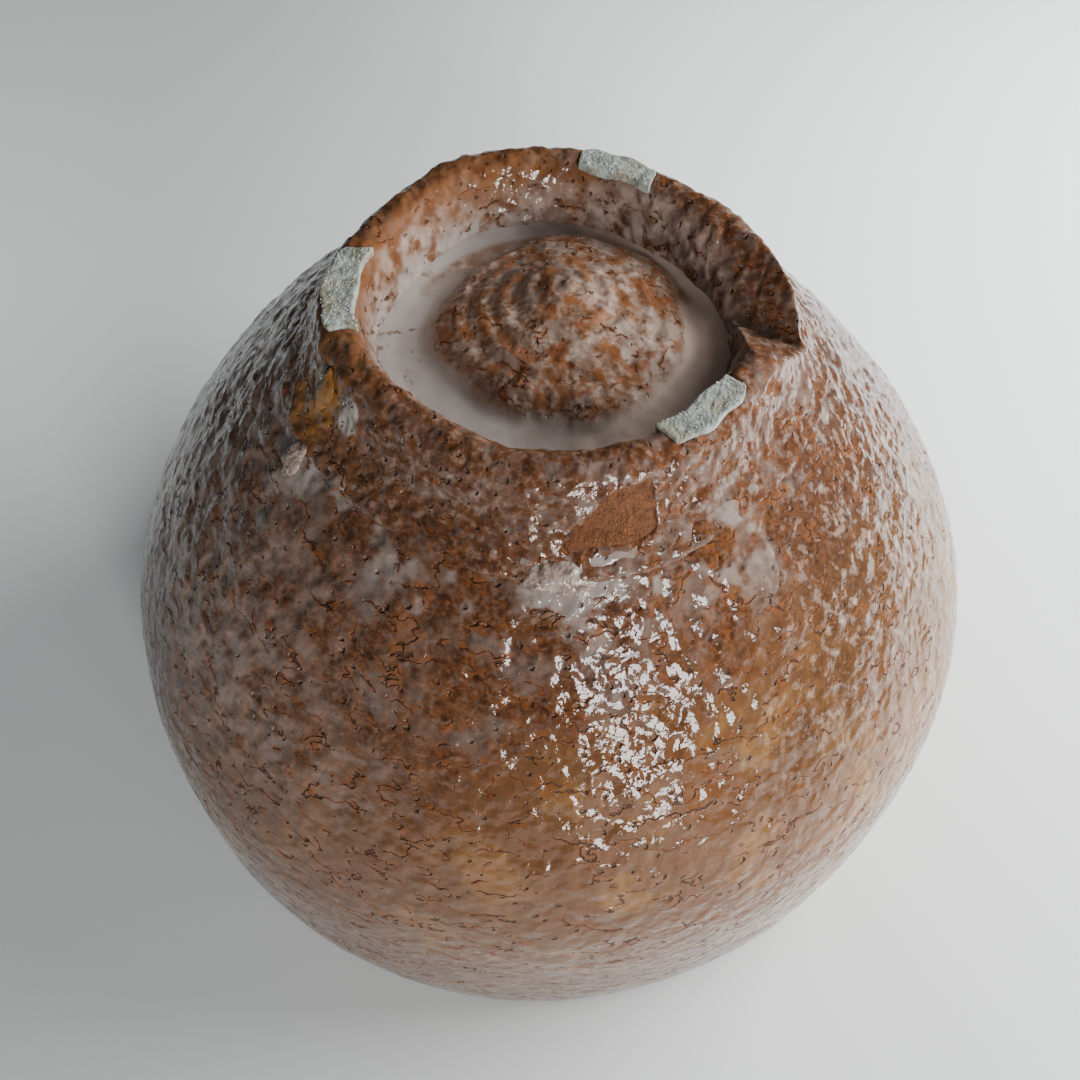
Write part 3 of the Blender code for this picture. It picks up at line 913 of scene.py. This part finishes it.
def foot_glaze_finish():
    """Red-brown, beaded and broken to rust on the lip, with a milky film in its hollows."""
    f, c = Finish("Foot glaze"), colours()
    flaws = f.surface(1.9 * MM, pinholes=0.7, cracks=0.45)
    brown = f.mottle(2.2, 12.0, c.umber, c.rust, c.lilac)
    brown = f.blend(0.4, brown, f.mottle(0.9, 13.0, c.chocolate, c.rust, c.haze))
    warm = f.mottle(2.6, 14.0, c.rust, c.ochre, c.peach)
    corner = f.less(f.times(f.y, 0.6), f.x)
    corner = f.plus(corner, f.times(f.drift(6.0, 3.0, 0.6, 15.0), 40.0 * MM))
    colour = f.blend(f.span(corner, 4.0, 20.0), brown, warm)
    inner = f.span(f.ring_radius(), 23.6, 21.8)
    colour = f.blend(f.times(inner, f.patchy(2.4, 36.0, 0.34, 0.62)), colour, c.haze)
    low = f.span(f.z, 85.0, 82.2)
    seep = f.times(f.times(inner, low), f.span(f.x, 2.0, -10.0))
    seep = f.times(seep, f.patchy(3.5, 16.0, 0.36, 0.52))
    colour = f.over(colour, c.milk, seep, 0.8)
    film = f.times(f.patchy(3.4, 17.0, 0.46, 0.62), f.span(f.x, -16.0, 18.0, 0.35, 1.0))
    colour = f.over(colour, c.lilac, film, 0.55)
    colour = f.over(colour, c.milk, f.spot((-22.9, -17.0, 86.1), 2.2, 18.0), 0.8)
    colour = f.over(colour, c.amber, f.spot((-26.9, -13.1, 84.5), 4.6, 19.0), 0.8)
    colour = f.darken_flaws(colour, flaws)
    gloss = f.vary(f.cloud(4.0), 0.05, 0.15)
    return f.finish(colour, f.dull_flaws(gloss, flaws), flaws["Height"], depth=1.0 * MM)


def recess_glaze_finish():
    """A smooth milky pool round a pebbled brown boss."""
    f, c = Finish("Recess glaze"), colours()
    flaws = f.surface(1.9 * MM, pinholes=0.5, cracks=0.9)
    boss = f.mottle(2.8, 22.0, c.ochre, c.peach, c.pink)
    boss = f.blend(0.35, boss, f.mottle(0.9, 29.0, c.rust, c.haze, c.pink))
    dark = f.mottle(2.0, 23.0, c.rust, c.lilac, c.lilac)
    cloud = f.drift(4.0, 3.0, 0.6, 24.0)
    boss = f.over(boss, dark, f.spot((-2.0, 7.5, 87.0), 6.0, 25.0), 0.85)
    film = f.patchy(4.0, 26.0, 0.42, 0.66)
    film = f.times(film, f.span(f.x, -12.0, 8.0, 0.5, 0.9))
    boss = f.blend(film, boss, f.blend(0.4, c.lilac, c.pink))
    boss = f.over(boss, c.ember, f.patchy(2.4, 27.0, 0.50, 0.58), 0.75)
    boss = f.darken_flaws(boss, flaws)
    drift = f.plus(f.x, f.times(cloud, 22.0 * MM))
    pool = f.blend(f.span(drift, 3.0, -11.0), f.blend(0.35, c.lilac, c.milk), c.milk)
    # Pink towards the pool's right, kept pale as painted light that lifts the shade the ring wall casts
    # over that side.
    pool = f.blend(f.span(drift, 2.0, 12.0, 0.0, 0.9), pool, c.pink)
    blots = f.times(f.patchy(2.0, 28.0, 0.60, 0.66), f.span(f.x, -15.0, -18.0))
    pool = f.over(pool, c.rust, blots, 0.7)
    level = f.plus(f.z, f.times(cloud, 1.6 * MM))
    wet = f.span(level, 83.0, 81.5)
    back = f.plus(f.plus(f.y, f.times(f.x, 0.10)), f.times(cloud, 14.0 * MM))
    thin = f.times(f.span(back, 6.0, 13.0), f.span(f.ring_radius(), 19.8, 18.6))
    pool = f.over(pool, boss, thin, 0.85)
    colour = f.blend(wet, boss, pool)
    dry = f.less(1.0, wet)
    ripple = f.times(f.cloud(4.0, 1.0, 0.5, 29.0), f.times(wet, 0.5))
    height = f.plus(f.times(flaws["Height"], dry), ripple)
    gloss = f.math("MAXIMUM", f.band(wet, 0.0, 1.0, 0.26, 0.30), f.times(f.dull_flaws(0.0, flaws), dry))
    return f.finish(colour, gloss, height, depth=0.8 * MM)


def inner_glaze_finish():
    """Even peach glaze with throwing rings and fine crazing."""
    f, c = Finish("Inner glaze"), colours()
    flaws = f.surface(3.2 * MM, pinholes=0.25, cracks=0.8)
    colour = f.mottle(16.0, 32.0, c.ochre, c.peach, c.shell)
    colour = f.darken_flaws(colour, flaws, 0.55)
    colour = f.blend(f.span(f.z, 68.0, 74.0, 0.0, 0.5), colour, c.milk)
    gloss = f.vary(f.cloud(6.0), 0.1, 0.24)
    return f.finish(colour, gloss, flaws["Height"], depth=0.3 * MM)


def bare_clay_finish():
    """Orange-brown clay, dry and sandy."""
    f, c = Finish("Bare clay"), colours()
    colour = f.mottle(1.6, 42.0, c.rust, c.bare_clay, c.ochre)
    sand = f.cloud(0.7, 4.0, 0.75, 43.0)
    colour = f.blend(f.band(sand, 0.58, 0.68, 0.0, 0.6), colour, c.chocolate)
    rough = f.vary(sand, 0.7, 0.95)
    return f.finish(colour, rough, sand, depth=0.9 * MM)


def grit_finish(name, colour, other):
    f = Finish(name)
    shade = f.mottle(0.9, 52.0, colour, colour, other)
    grain = f.cloud(0.2, 3.0, 0.6, 53.0)
    return f.finish(shade, f.vary(grain, 0.6, 0.95), grain, depth=0.1 * MM)


def kiln_pad_finish():
    """Dry grey-green pad clay with yellowish middles and dark specks."""
    f, c = Finish("Kiln pad"), colours()
    pad = tuple(c.kiln_pad)
    deep = tuple(value * 0.62 for value in pad)
    pale = tuple(min(value * 1.3, 1.0) for value in pad)
    colour = f.mottle(1.5, 62.0, deep, pad, pale)
    colour = f.over(colour, PAD_YELLOW, f.patchy(2.6, 63.0, 0.50, 0.62), 0.5)
    colour = f.over(colour, c.lilac, f.patchy(0.7, 64.0, 0.64, 0.70), 0.6)
    crust = f.cloud(0.8, 4.0, 0.65, 65.0)
    return f.finish(colour, f.vary(crust, 0.75, 0.95), crust, depth=0.5 * MM)


def milky_bead_finish():
    f, c = Finish("Milky bead"), colours()
    colour = f.mottle(2.0, 72.0, c.lilac, c.haze, c.milk)
    swirl = f.cloud(1.4, 2.0, 0.5, 73.0)
    return f.finish(colour, f.vary(swirl, 0.04, 0.12), swirl, depth=0.8 * MM)


def amber_finish():
    """Amber ash glaze with one dark crack down its middle."""
    f, c = Finish("Amber glaze"), colours()
    cosine, sine = towards(DROPS[2][1])
    across = f.less(f.times(f.y, cosine), f.times(f.x, sine))
    wander = f.drift(1.6, 3.0, 0.6, 82.0)
    across = f.math("ABSOLUTE", f.plus(across, f.times(wander, 1.6 * MM)))
    crack = f.span(across, 0.28, 0.08)
    colour = f.mottle(2.4, 83.0, c.rust, c.amber, c.amber)
    colour = f.over(colour, c.chocolate, crack, 0.85)
    height = f.less(f.cloud(1.2, 3.0, 0.55, 84.0), crack)
    return f.finish(colour, f.band(wander, -0.2, 0.2, 0.12, 0.28), height, depth=0.4 * MM)


def floor_finish():
    f = Finish("Pale floor")
    stage = bpy.context.scene.tea_bowl_stage
    patches = f.band(f.cloud(200.0, 2.0, 0.5, 91.0), 0.35, 0.65)
    shade = tuple(value * 0.97 for value in stage.floor)
    f.feed(f.shader.inputs["Base Color"], f.blend(patches, stage.floor, shade))
    f.shader.inputs["Roughness"].default_value = FLOOR_ROUGHNESS
    return f.material


# Pieces


def hand_over(obj, node):
    """Hides the frame's part that a finished piece stands for and attaches the piece to the root body.
    """
    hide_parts(node)
    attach(obj, "root")
    return {"FINISHED"}


def coat_skin(name, line, steps, spacing, back_spacing):
    """A closed coat of glaze: a fine front and a coarser back, turned about Z."""
    front = evenly(line, spacing)
    back = evenly(offset_line(evenly(line, back_spacing), GLAZE), back_spacing)
    return turned(name, np.vstack([front, back[::-1]]), steps, closed=True), len(front) * steps


class TEABOWL_OT_outer_glaze(bpy.types.Operator):
    """Build the outer coat of glaze with its beads, swells and cracks"""

    bl_idname = "teabowl.outer_glaze"
    bl_label = "Outer Glaze"

    def execute(self, context):
        skin, front = coat_skin("wall_glaze", outside_line(), WALL_STEPS, WALL_SPACING, BACK_SPACING)
        points = throw(skin)
        mask = 0.45 + 0.75 * smooth_step(45.0 * MM, 76.0 * MM, points[:, 2])
        mask[front:] = 0.0
        raise_relief(skin, mask, wall_glaze_finish(), bead=0.8, swell=1.1 * MM)
        return hand_over(skin, "outer_glaze")


class TEABOWL_OT_inner_glaze(bpy.types.Operator):
    """Build the inner coat of glaze with its throwing rings"""

    bl_idname = "teabowl.inner_glaze"
    bl_label = "Inner Glaze"

    def execute(self, context):
        line = evenly(inside_line(), 1.0 * MM)
        reach = np.arange(len(line)) * MM
        rings = offset_line(line, 1.0) - line
        wave = THROWING_RING_HEIGHT * np.sin(reach * math.tau / THROWING_RING)
        line = line + rings * wave[:, None]
        line[-1, 0] = 0.0
        back = offset_line(evenly(line, 6.0 * MM), GLAZE)[::-1]
        back[0, 0] = 0.0
        skin = turned("inner_glaze_skin", np.vstack([line, back]), INNER_STEPS, closed=False)
        points = throw(skin)
        raise_relief(skin, np.full(len(points), 0.25), inner_glaze_finish(), seed=31.0)
        return hand_over(skin, "inner_glaze")


class TEABOWL_OT_clay_body(bpy.types.Operator):
    """Build the clay wall with its gritty, unglazed mouth edge"""

    bl_idname = "teabowl.clay_body"
    bl_label = "Clay Body"

    def execute(self, context):
        outside = offset_line(evenly(outside_line()[2:], 3.0 * MM), UNDER_GLAZE)
        inside = offset_line(evenly(inside_line(), 3.0 * MM), UNDER_GLAZE)
        inside[-1, 0] = 0.0
        rim_out, rim_in = outside[-1, 0], inside[0, 0]
        rim = rounded(
            [
                (rim_out + 0.3 * MM, GLAZE_END_HEIGHT), (rim_out, 0.5 * MM),
                (rim_out - 0.7 * MM, 0.03 * MM), (rim_in + 0.7 * MM, 0.03 * MM),
                (rim_in, 0.5 * MM), (rim_in - 0.3 * MM, GLAZE_END_HEIGHT),
            ],
            0.25 * MM,
        )
        seat_radii = (0.0, RECESS_RADIUS, outside[0, 0] - 0.4 * MM)
        seat = [(radius, SEAT_HEIGHT) for radius in seat_radii]
        skin = turned("clay_wall", np.vstack([seat, outside, rim, inside]), CLAY_STEPS, closed=False)
        points = throw(skin)
        mask = 0.35 * smooth_step(2.0 * MM, 0.6 * MM, points[:, 2])
        mask *= smooth_step(0.0, 0.3 * MM, points[:, 2])
        raise_relief(skin, mask, bare_clay_finish(), seed=41.0, bead_size=0.5)
        return hand_over(skin, "clay_body")


def wedge_cutter(name, grow):
    """A groove whose near side is long and low and whose far side is steep."""
    rise = WEDGE_HEADROOM + WEDGE_DEPTH
    near = rise / math.tan(math.radians(WEDGE_NEAR_SLOPE))
    far = rise / math.tan(math.radians(WEDGE_FAR_SLOPE))
    groove = [
        (-near, WEDGE_HEADROOM),
        (-1.0 * MM, 0.55 * MM - WEDGE_DEPTH),
        (0.0, -WEDGE_DEPTH),
        (0.7 * MM, 0.8 * MM - WEDGE_DEPTH),
        (far, WEDGE_HEADROOM),
    ]
    cutter = flat_prism(name, offset_line(groove, grow), WEDGE_LENGTH)
    climb = math.radians(WEDGE_CLIMB)
    level = Vector((*towards(WEDGE_DIRECTION), 0.0))
    along = level * math.cos(climb) + Vector((0.0, 0.0, math.sin(climb)))
    across = Vector((-level.y, level.x, 0.0))
    turn = Matrix((across, along.cross(across), along)).transposed().to_4x4()
    start = Vector((*WEDGE_START, FOOT_TOP)) - along * grow
    cutter.matrix_world = Matrix.Translation(start) @ turn
    return cutter


def mark_outline(direction, half_width):
    """Outline of one kiln mark: a ragged piece of the ring with ends cut straight, at a slant."""
    share = np.linspace(-1.0, 1.0, 25)
    reach = math.radians(half_width)
    inner = MARK_RADII[0] + 0.22 * MM * np.sin(5.0 * share + direction)
    outer = MARK_RADII[1] - 0.75 * MM * share**4 + 0.2 * MM * np.sin(7.0 * share - direction)
    there = math.radians(direction) + reach * (share * 0.93 + 0.05)
    back = math.radians(direction) + reach * share
    far_side = [(r * math.cos(a), r * math.sin(a)) for r, a in zip(outer, there)]
    near_side = [(r * math.cos(a), r * math.sin(a)) for r, a in zip(inner, back)]
    return far_side + near_side[::-1]


def bare_window():
    """Cutter of the window in the foot's glaze that leaves the clay bare."""
    outline = [(across * MM, up * MM) for across, up in BARE_OUTLINE]
    cutter = flat_prism("bare_window", outline, 6.0 * MM)
    cosine, sine = towards(BARE_DIRECTION)
    cutter.rotation_euler = (math.pi / 2, 0.0, math.radians(BARE_DIRECTION) + math.pi / 2)
    cutter.location = (RING_RADIUS * cosine, RING_RADIUS * sine, BARE_HEIGHT)
    return cutter


def ring_solid(name, under, voxel, windows):
    """The foot ring with its wedge cut and windows, this far under the glaze surface, worn smooth."""
    surface = rounded(foot_line(), 0.8 * MM)[::-1]
    line = offset_line(surface, -under) if under else surface
    bottom = [(line[-1, 0], SEAT_HEIGHT - 0.9 * MM), (line[0, 0], SEAT_HEIGHT - 0.9 * MM)]
    ring = turned(name, np.vstack([line, bottom])[::-1], RING_STEPS, closed=True)
    cutters = [subtract(ring, wedge_cutter(name + "_wedge", under))]
    cutters += [subtract(ring, window) for window in windows]
    wear_smooth(ring, voxel, 4)
    for cutter in cutters:
        bpy.data.objects.remove(cutter, do_unlink=True)
    return ring


class TEABOWL_OT_foot_glaze(bpy.types.Operator):
    """Build the foot ring's coat of glaze with its wedge cut, its windows and its knobbly lip"""

    bl_idname = "teabowl.foot_glaze"
    bl_label = "Foot Glaze"

    def execute(self, context):
        windows = [bare_window()]
        for name, direction, half_width in MARKS:
            window = flat_prism(name + "_window", mark_outline(direction, half_width), 3.0 * MM)
            window.location.z = FOOT_TOP - 0.6 * MM
            windows.append(window)
        ring = ring_solid("foot_glaze_skin", 0.0, FOOT_GLAZE_VOXEL, windows)
        points = read_points(ring.data)
        marked = np.zeros(len(points))
        angles = np.degrees(np.arctan2(points[:, 1], points[:, 0]))
        for name, direction, half_width in MARKS:
            away = np.abs((angles - direction + 180.0) % 360.0 - 180.0)
            marked = np.maximum(marked, smooth_step(half_width + 3.0, half_width, away))
        marked *= smooth_step(FOOT_TOP - 1.4 * MM, FOOT_TOP - 0.8 * MM, points[:, 2])
        throw(ring)
        raise_relief(
            ring, 1.0 - 0.8 * marked, foot_glaze_finish(), seed=12.0, bead=0.95, swell=1.3 * MM,
            bead_size=0.85,
        )
        return hand_over(ring, "foot_glaze")


class TEABOWL_OT_foot_ring(bpy.types.Operator):
    """Build the foot ring's clay, which shows bare and gritty through the window in its glaze"""

    bl_idname = "teabowl.foot_ring"
    bl_label = "Foot Ring"

    def execute(self, context):
        ring = ring_solid("foot_ring_clay", RING_UNDER_GLAZE, FOOT_CLAY_VOXEL, [])
        points = throw(ring)
        raise_relief(
            ring, np.full(len(points), 0.5), bare_clay_finish_once(), seed=43.0, bead=0.6,
            bead_size=0.4,
        )
        points = read_points(ring.data)
        cosine, sine = towards(BARE_DIRECTION)
        across = points[:, 1] * cosine - points[:, 0] * sine
        outwards = points[:, 0] * cosine + points[:, 1] * sine
        shown = (np.abs(across) < 5.0 * MM) & (np.abs(points[:, 2] - BARE_HEIGHT) < 2.6 * MM)
        shown &= outwards > RING_RADIUS
        grit = grit_finish("Pale grit", colours().ochre, colours().shell)
        strew_grit(ring, shown.astype(float), grit, 4.5)
        return hand_over(ring, "foot_ring")


def bare_clay_finish_once():
    return bpy.data.materials.get("Bare clay") or bare_clay_finish()


class TEABOWL_OT_recess_glaze(bpy.types.Operator):
    """Build the boss and the milky pool in the recess of the foot"""

    bl_idname = "teabowl.recess_glaze"
    bl_label = "Recess Glaze"

    def execute(self, context):
        edge = RECESS_RADIUS + 0.9 * MM
        radius = np.linspace(0.0, edge, 96)
        line = np.stack([radius, np.full(96, SEAT_HEIGHT)], axis=1)
        under = np.array([(edge, SEAT_HEIGHT - 0.5 * MM), (0.0, SEAT_HEIGHT - 0.5 * MM)])
        skin = turned("recess_glaze_skin", np.vstack([line, under]), CLAY_STEPS, closed=False)
        points = read_points(skin.data)
        top = points[:, 2] > SEAT_HEIGHT - 0.1 * MM
        level = points[:, :2] - BOSS_SHIFT
        share = np.clip(1.0 - np.hypot(*level.T) / BOSS_RADIUS, 0.0, 1.0)
        lean = level - BOSS_LEAN * share[:, None]
        away = np.hypot(*lean.T)
        angle = np.arctan2(lean[:, 1], lean[:, 0])
        uneven = 1.0 + 0.035 * np.sin(3 * angle + 1.0) + 0.02 * np.sin(7 * angle)
        uneven -= 0.17 * np.clip(np.cos(angle - math.radians(38.0)), 0.0, 1.0) ** 2
        uneven -= 0.09 * np.clip(np.cos(angle - math.radians(-80.0)), 0.0, 1.0) ** 2
        boss = boss_height(away * uneven) + UNDER_GLAZE
        spiral = np.sin(away / SPIRAL_STEP * math.tau - angle)
        boss = boss + SPIRAL_HEIGHT * spiral * smooth_step(BOSS_RADIUS, 11.0 * MM, away)
        pool = POOL_HEIGHT - SEAT_HEIGHT
        rim = 0.5 * MM * smooth_step(18.5 * MM, edge, np.hypot(*points[:, :2].T))
        # A soft maximum makes the glaze climb a little where the pool meets the boss.
        climb = POOL_MENISCUS * np.log1p(np.exp((boss - pool - rim) / POOL_MENISCUS))
        level = pool + rim + climb
        points[:, 2] = np.where(top, SEAT_HEIGHT + level, points[:, 2])
        write_points(skin.data, hand_thrown(points))
        mask = np.where(top, 0.9 * smooth_step(0.1 * MM, 0.9 * MM, level - pool - rim), 0.0)
        raise_relief(
            skin, mask, recess_glaze_finish(), seed=22.0, bead=0.6, swell=1.1 * MM, bead_size=0.85
        )
        return hand_over(skin, "recess_glaze")


class TEABOWL_OT_kiln_marks(bpy.types.Operator):
    """Build the three rough grey kiln marks on the foot's lip"""

    bl_idname = "teabowl.kiln_marks"
    bl_label = "Kiln Marks"

    def execute(self, context):
        pad = kiln_pad_finish()
        light_pad = tuple(value * 1.25 for value in colours().kiln_pad)
        grit = grit_finish("Pad grit", light_pad, colours().milk)
        for index, (node, direction, half_width) in enumerate(MARKS):
            mark = flat_prism(node + "_pad", mark_outline(direction, half_width), 1.2 * MM)
            mark.location.z = FOOT_TOP - 1.05 * MM
            wear_smooth(mark, MARK_VOXEL, 3)
            points = throw(mark)
            raise_relief(
                mark, np.ones(len(points)), pad, seed=62.0 + index, bead=0.28, swell=0.25 * MM,
                bead_size=0.5,
            )
            points = read_points(mark.data)
            upper = (points[:, 2] > FOOT_TOP - 0.1 * MM).astype(float)
            strew_grit(mark, upper, grit, 1.6)
            hand_over(mark, node)
        return {"FINISHED"}


def glaze_drop(name, direction, radius, height, size, tilt):
    """A flattened drop lying on the wall, its long axis along the crease."""
    shape = bmesh.new()
    bmesh.ops.create_icosphere(shape, subdivisions=5, radius=1.0)
    mesh = mesh_from(name, shape)
    drop = new_object(name, mesh)
    points = read_points(mesh)
    # Raising the height to a power flattens the ball to a shallow drop with a thin edge.
    points[:, 2] = np.sign(points[:, 2]) * np.abs(points[:, 2]) ** 1.5
    around = np.arctan2(points[:, 1], points[:, 0])
    wavy = 1.0 + 0.10 * np.sin(3.0 * around + direction) + 0.07 * np.sin(5.0 * around - direction)
    points[:, :2] *= wavy[:, None]
    write_points(mesh, points * np.array(size) * MM)
    cosine, sine = towards(direction)
    drop.rotation_euler = (math.radians(tilt), 0.0, math.radians(direction) - math.pi / 2)
    drop.location = (radius * MM * cosine, radius * MM * sine, height * MM)
    settle(drop)
    return drop


class TEABOWL_OT_glaze_drops(bpy.types.Operator):
    """Build the two milky beads in the crease and the amber run on the ring"""

    bl_idname = "teabowl.glaze_drops"
    bl_label = "Glaze Drops"

    def execute(self, context):
        milky = milky_bead_finish()
        amber = amber_finish()
        for index, (node, direction, radius, height, size, tilt) in enumerate(DROPS):
            is_amber = node == "amber_run"
            drop = glaze_drop(node + "_drop", direction, radius, height, size, tilt)
            raise_relief(
                drop, np.ones(len(drop.data.vertices)), amber if is_amber else milky,
                seed=72.0 + index, bead=0.2, swell=0.4 * MM, bead_size=0.9,
            )
            hand_over(drop, node)
        return {"FINISHED"}


def area_light(name, place, width, height, mirrored, energy):
    light = bpy.data.lights.new(name, "AREA")
    light.shape = "RECTANGLE"
    light.size = width
    light.size_y = height
    light.energy = energy
    made = new_object(name, light)
    made.location = place
    made.rotation_euler = (Vector(place) - Vector(BOWL_MIDDLE)).to_track_quat("Z", "Y").to_euler()
    made.visible_camera = False
    made.visible_glossy = mirrored


class TEABOWL_OT_stage(bpy.types.Operator):
    """Set up the pale floor, the soft lights and the camera"""

    bl_idname = "teabowl.stage"
    bl_label = "Stage"

    def execute(self, context):
        scene = context.scene
        stage = scene.tea_bowl_stage
        shape = bmesh.new()
        bmesh.ops.create_grid(shape, x_segments=8, y_segments=8, size=FLOOR_REACH)
        mesh = mesh_from("floor", shape)
        mesh.materials.append(floor_finish())
        new_object("floor", mesh)

        world = bpy.data.worlds.new("Soft room")
        scene.world = world
        world.use_nodes = True
        sky = world.node_tree.nodes["Background"]
        sky.inputs["Color"].default_value = (*SKY_TINT, 1.0)
        # The room lights the bowl dimly but looks pale behind it.
        room = Tree(world.node_tree)
        seen = room.node("ShaderNodeLightPath").outputs["Is Camera Ray"]
        room.feed(sky.inputs["Strength"], room.band(seen, 0.0, 1.0, stage.sky, stage.backdrop))

        for light, energy in zip(LIGHTS, (stage.side_power, stage.front_power, stage.window_power)):
            area_light(*light, energy)

        camera = bpy.data.cameras.new("camera")
        camera.sensor_width = 36.0
        camera.lens = CAMERA_LENS
        camera.clip_start = 0.001
        seen_from = new_object("camera", camera)
        down, aside, roll = [math.radians(turn) for turn in (CAMERA_DOWN, CAMERA_ASIDE, CAMERA_ROLL)]
        level = math.cos(down)
        ahead = Vector((math.sin(aside) * level, math.cos(aside) * level, -math.sin(down)))
        right = Vector((math.cos(aside), -math.sin(aside), 0.0))
        up = right.cross(ahead)
        rolled_right = right * math.cos(roll) - up * math.sin(roll)
        rolled_up = right * math.sin(roll) + up * math.cos(roll)
        turn = Matrix((rolled_right, rolled_up, -ahead)).transposed().to_4x4()
        seen_from.matrix_world = Matrix.Translation(CAMERA_PLACE) @ turn
        scene.camera = seen_from
        return {"FINISHED"}


GROUPS = {
    "tea_bowl_sizes": TeaBowlSizes,
    "tea_bowl_colours": TeaBowlColours,
    "tea_bowl_stage": TeaBowlStage,
}
OPERATORS = (
    TEABOWL_OT_clay_body,
    TEABOWL_OT_outer_glaze,
    TEABOWL_OT_inner_glaze,
    TEABOWL_OT_foot_ring,
    TEABOWL_OT_foot_glaze,
    TEABOWL_OT_recess_glaze,
    TEABOWL_OT_kiln_marks,
    TEABOWL_OT_glaze_drops,
    TEABOWL_OT_stage,
)


class TEABOWL_PT_pieces(bpy.types.Panel):
    """The bowl's pieces, sizes and colours"""

    bl_idname = "TEABOWL_PT_pieces"
    bl_label = "Tea Bowl"
    bl_space_type = "VIEW_3D"
    bl_region_type = "UI"
    bl_category = "Tea Bowl"

    def draw(self, context):
        for operator in OPERATORS:
            self.layout.operator(operator.bl_idname)
        for place in GROUPS:
            group = getattr(context.scene, place)
            for name in group.__annotations__:
                self.layout.prop(group, name)


CLASSES = (*GROUPS.values(), *OPERATORS, TEABOWL_PT_pieces)


def register():
    for item in CLASSES:
        bpy.utils.register_class(item)
    for name, group in GROUPS.items():
        setattr(bpy.types.Scene, name, bpy.props.PointerProperty(type=group))


def unregister():
    for name in GROUPS:
        delattr(bpy.types.Scene, name)
    for item in reversed(CLASSES):
        bpy.utils.unregister_class(item)


def main():
    register()
    for operator in OPERATORS:
        family, name = operator.bl_idname.split(".")
        getattr(getattr(bpy.ops, family), name)()


if __name__ == "__main__":
    main()
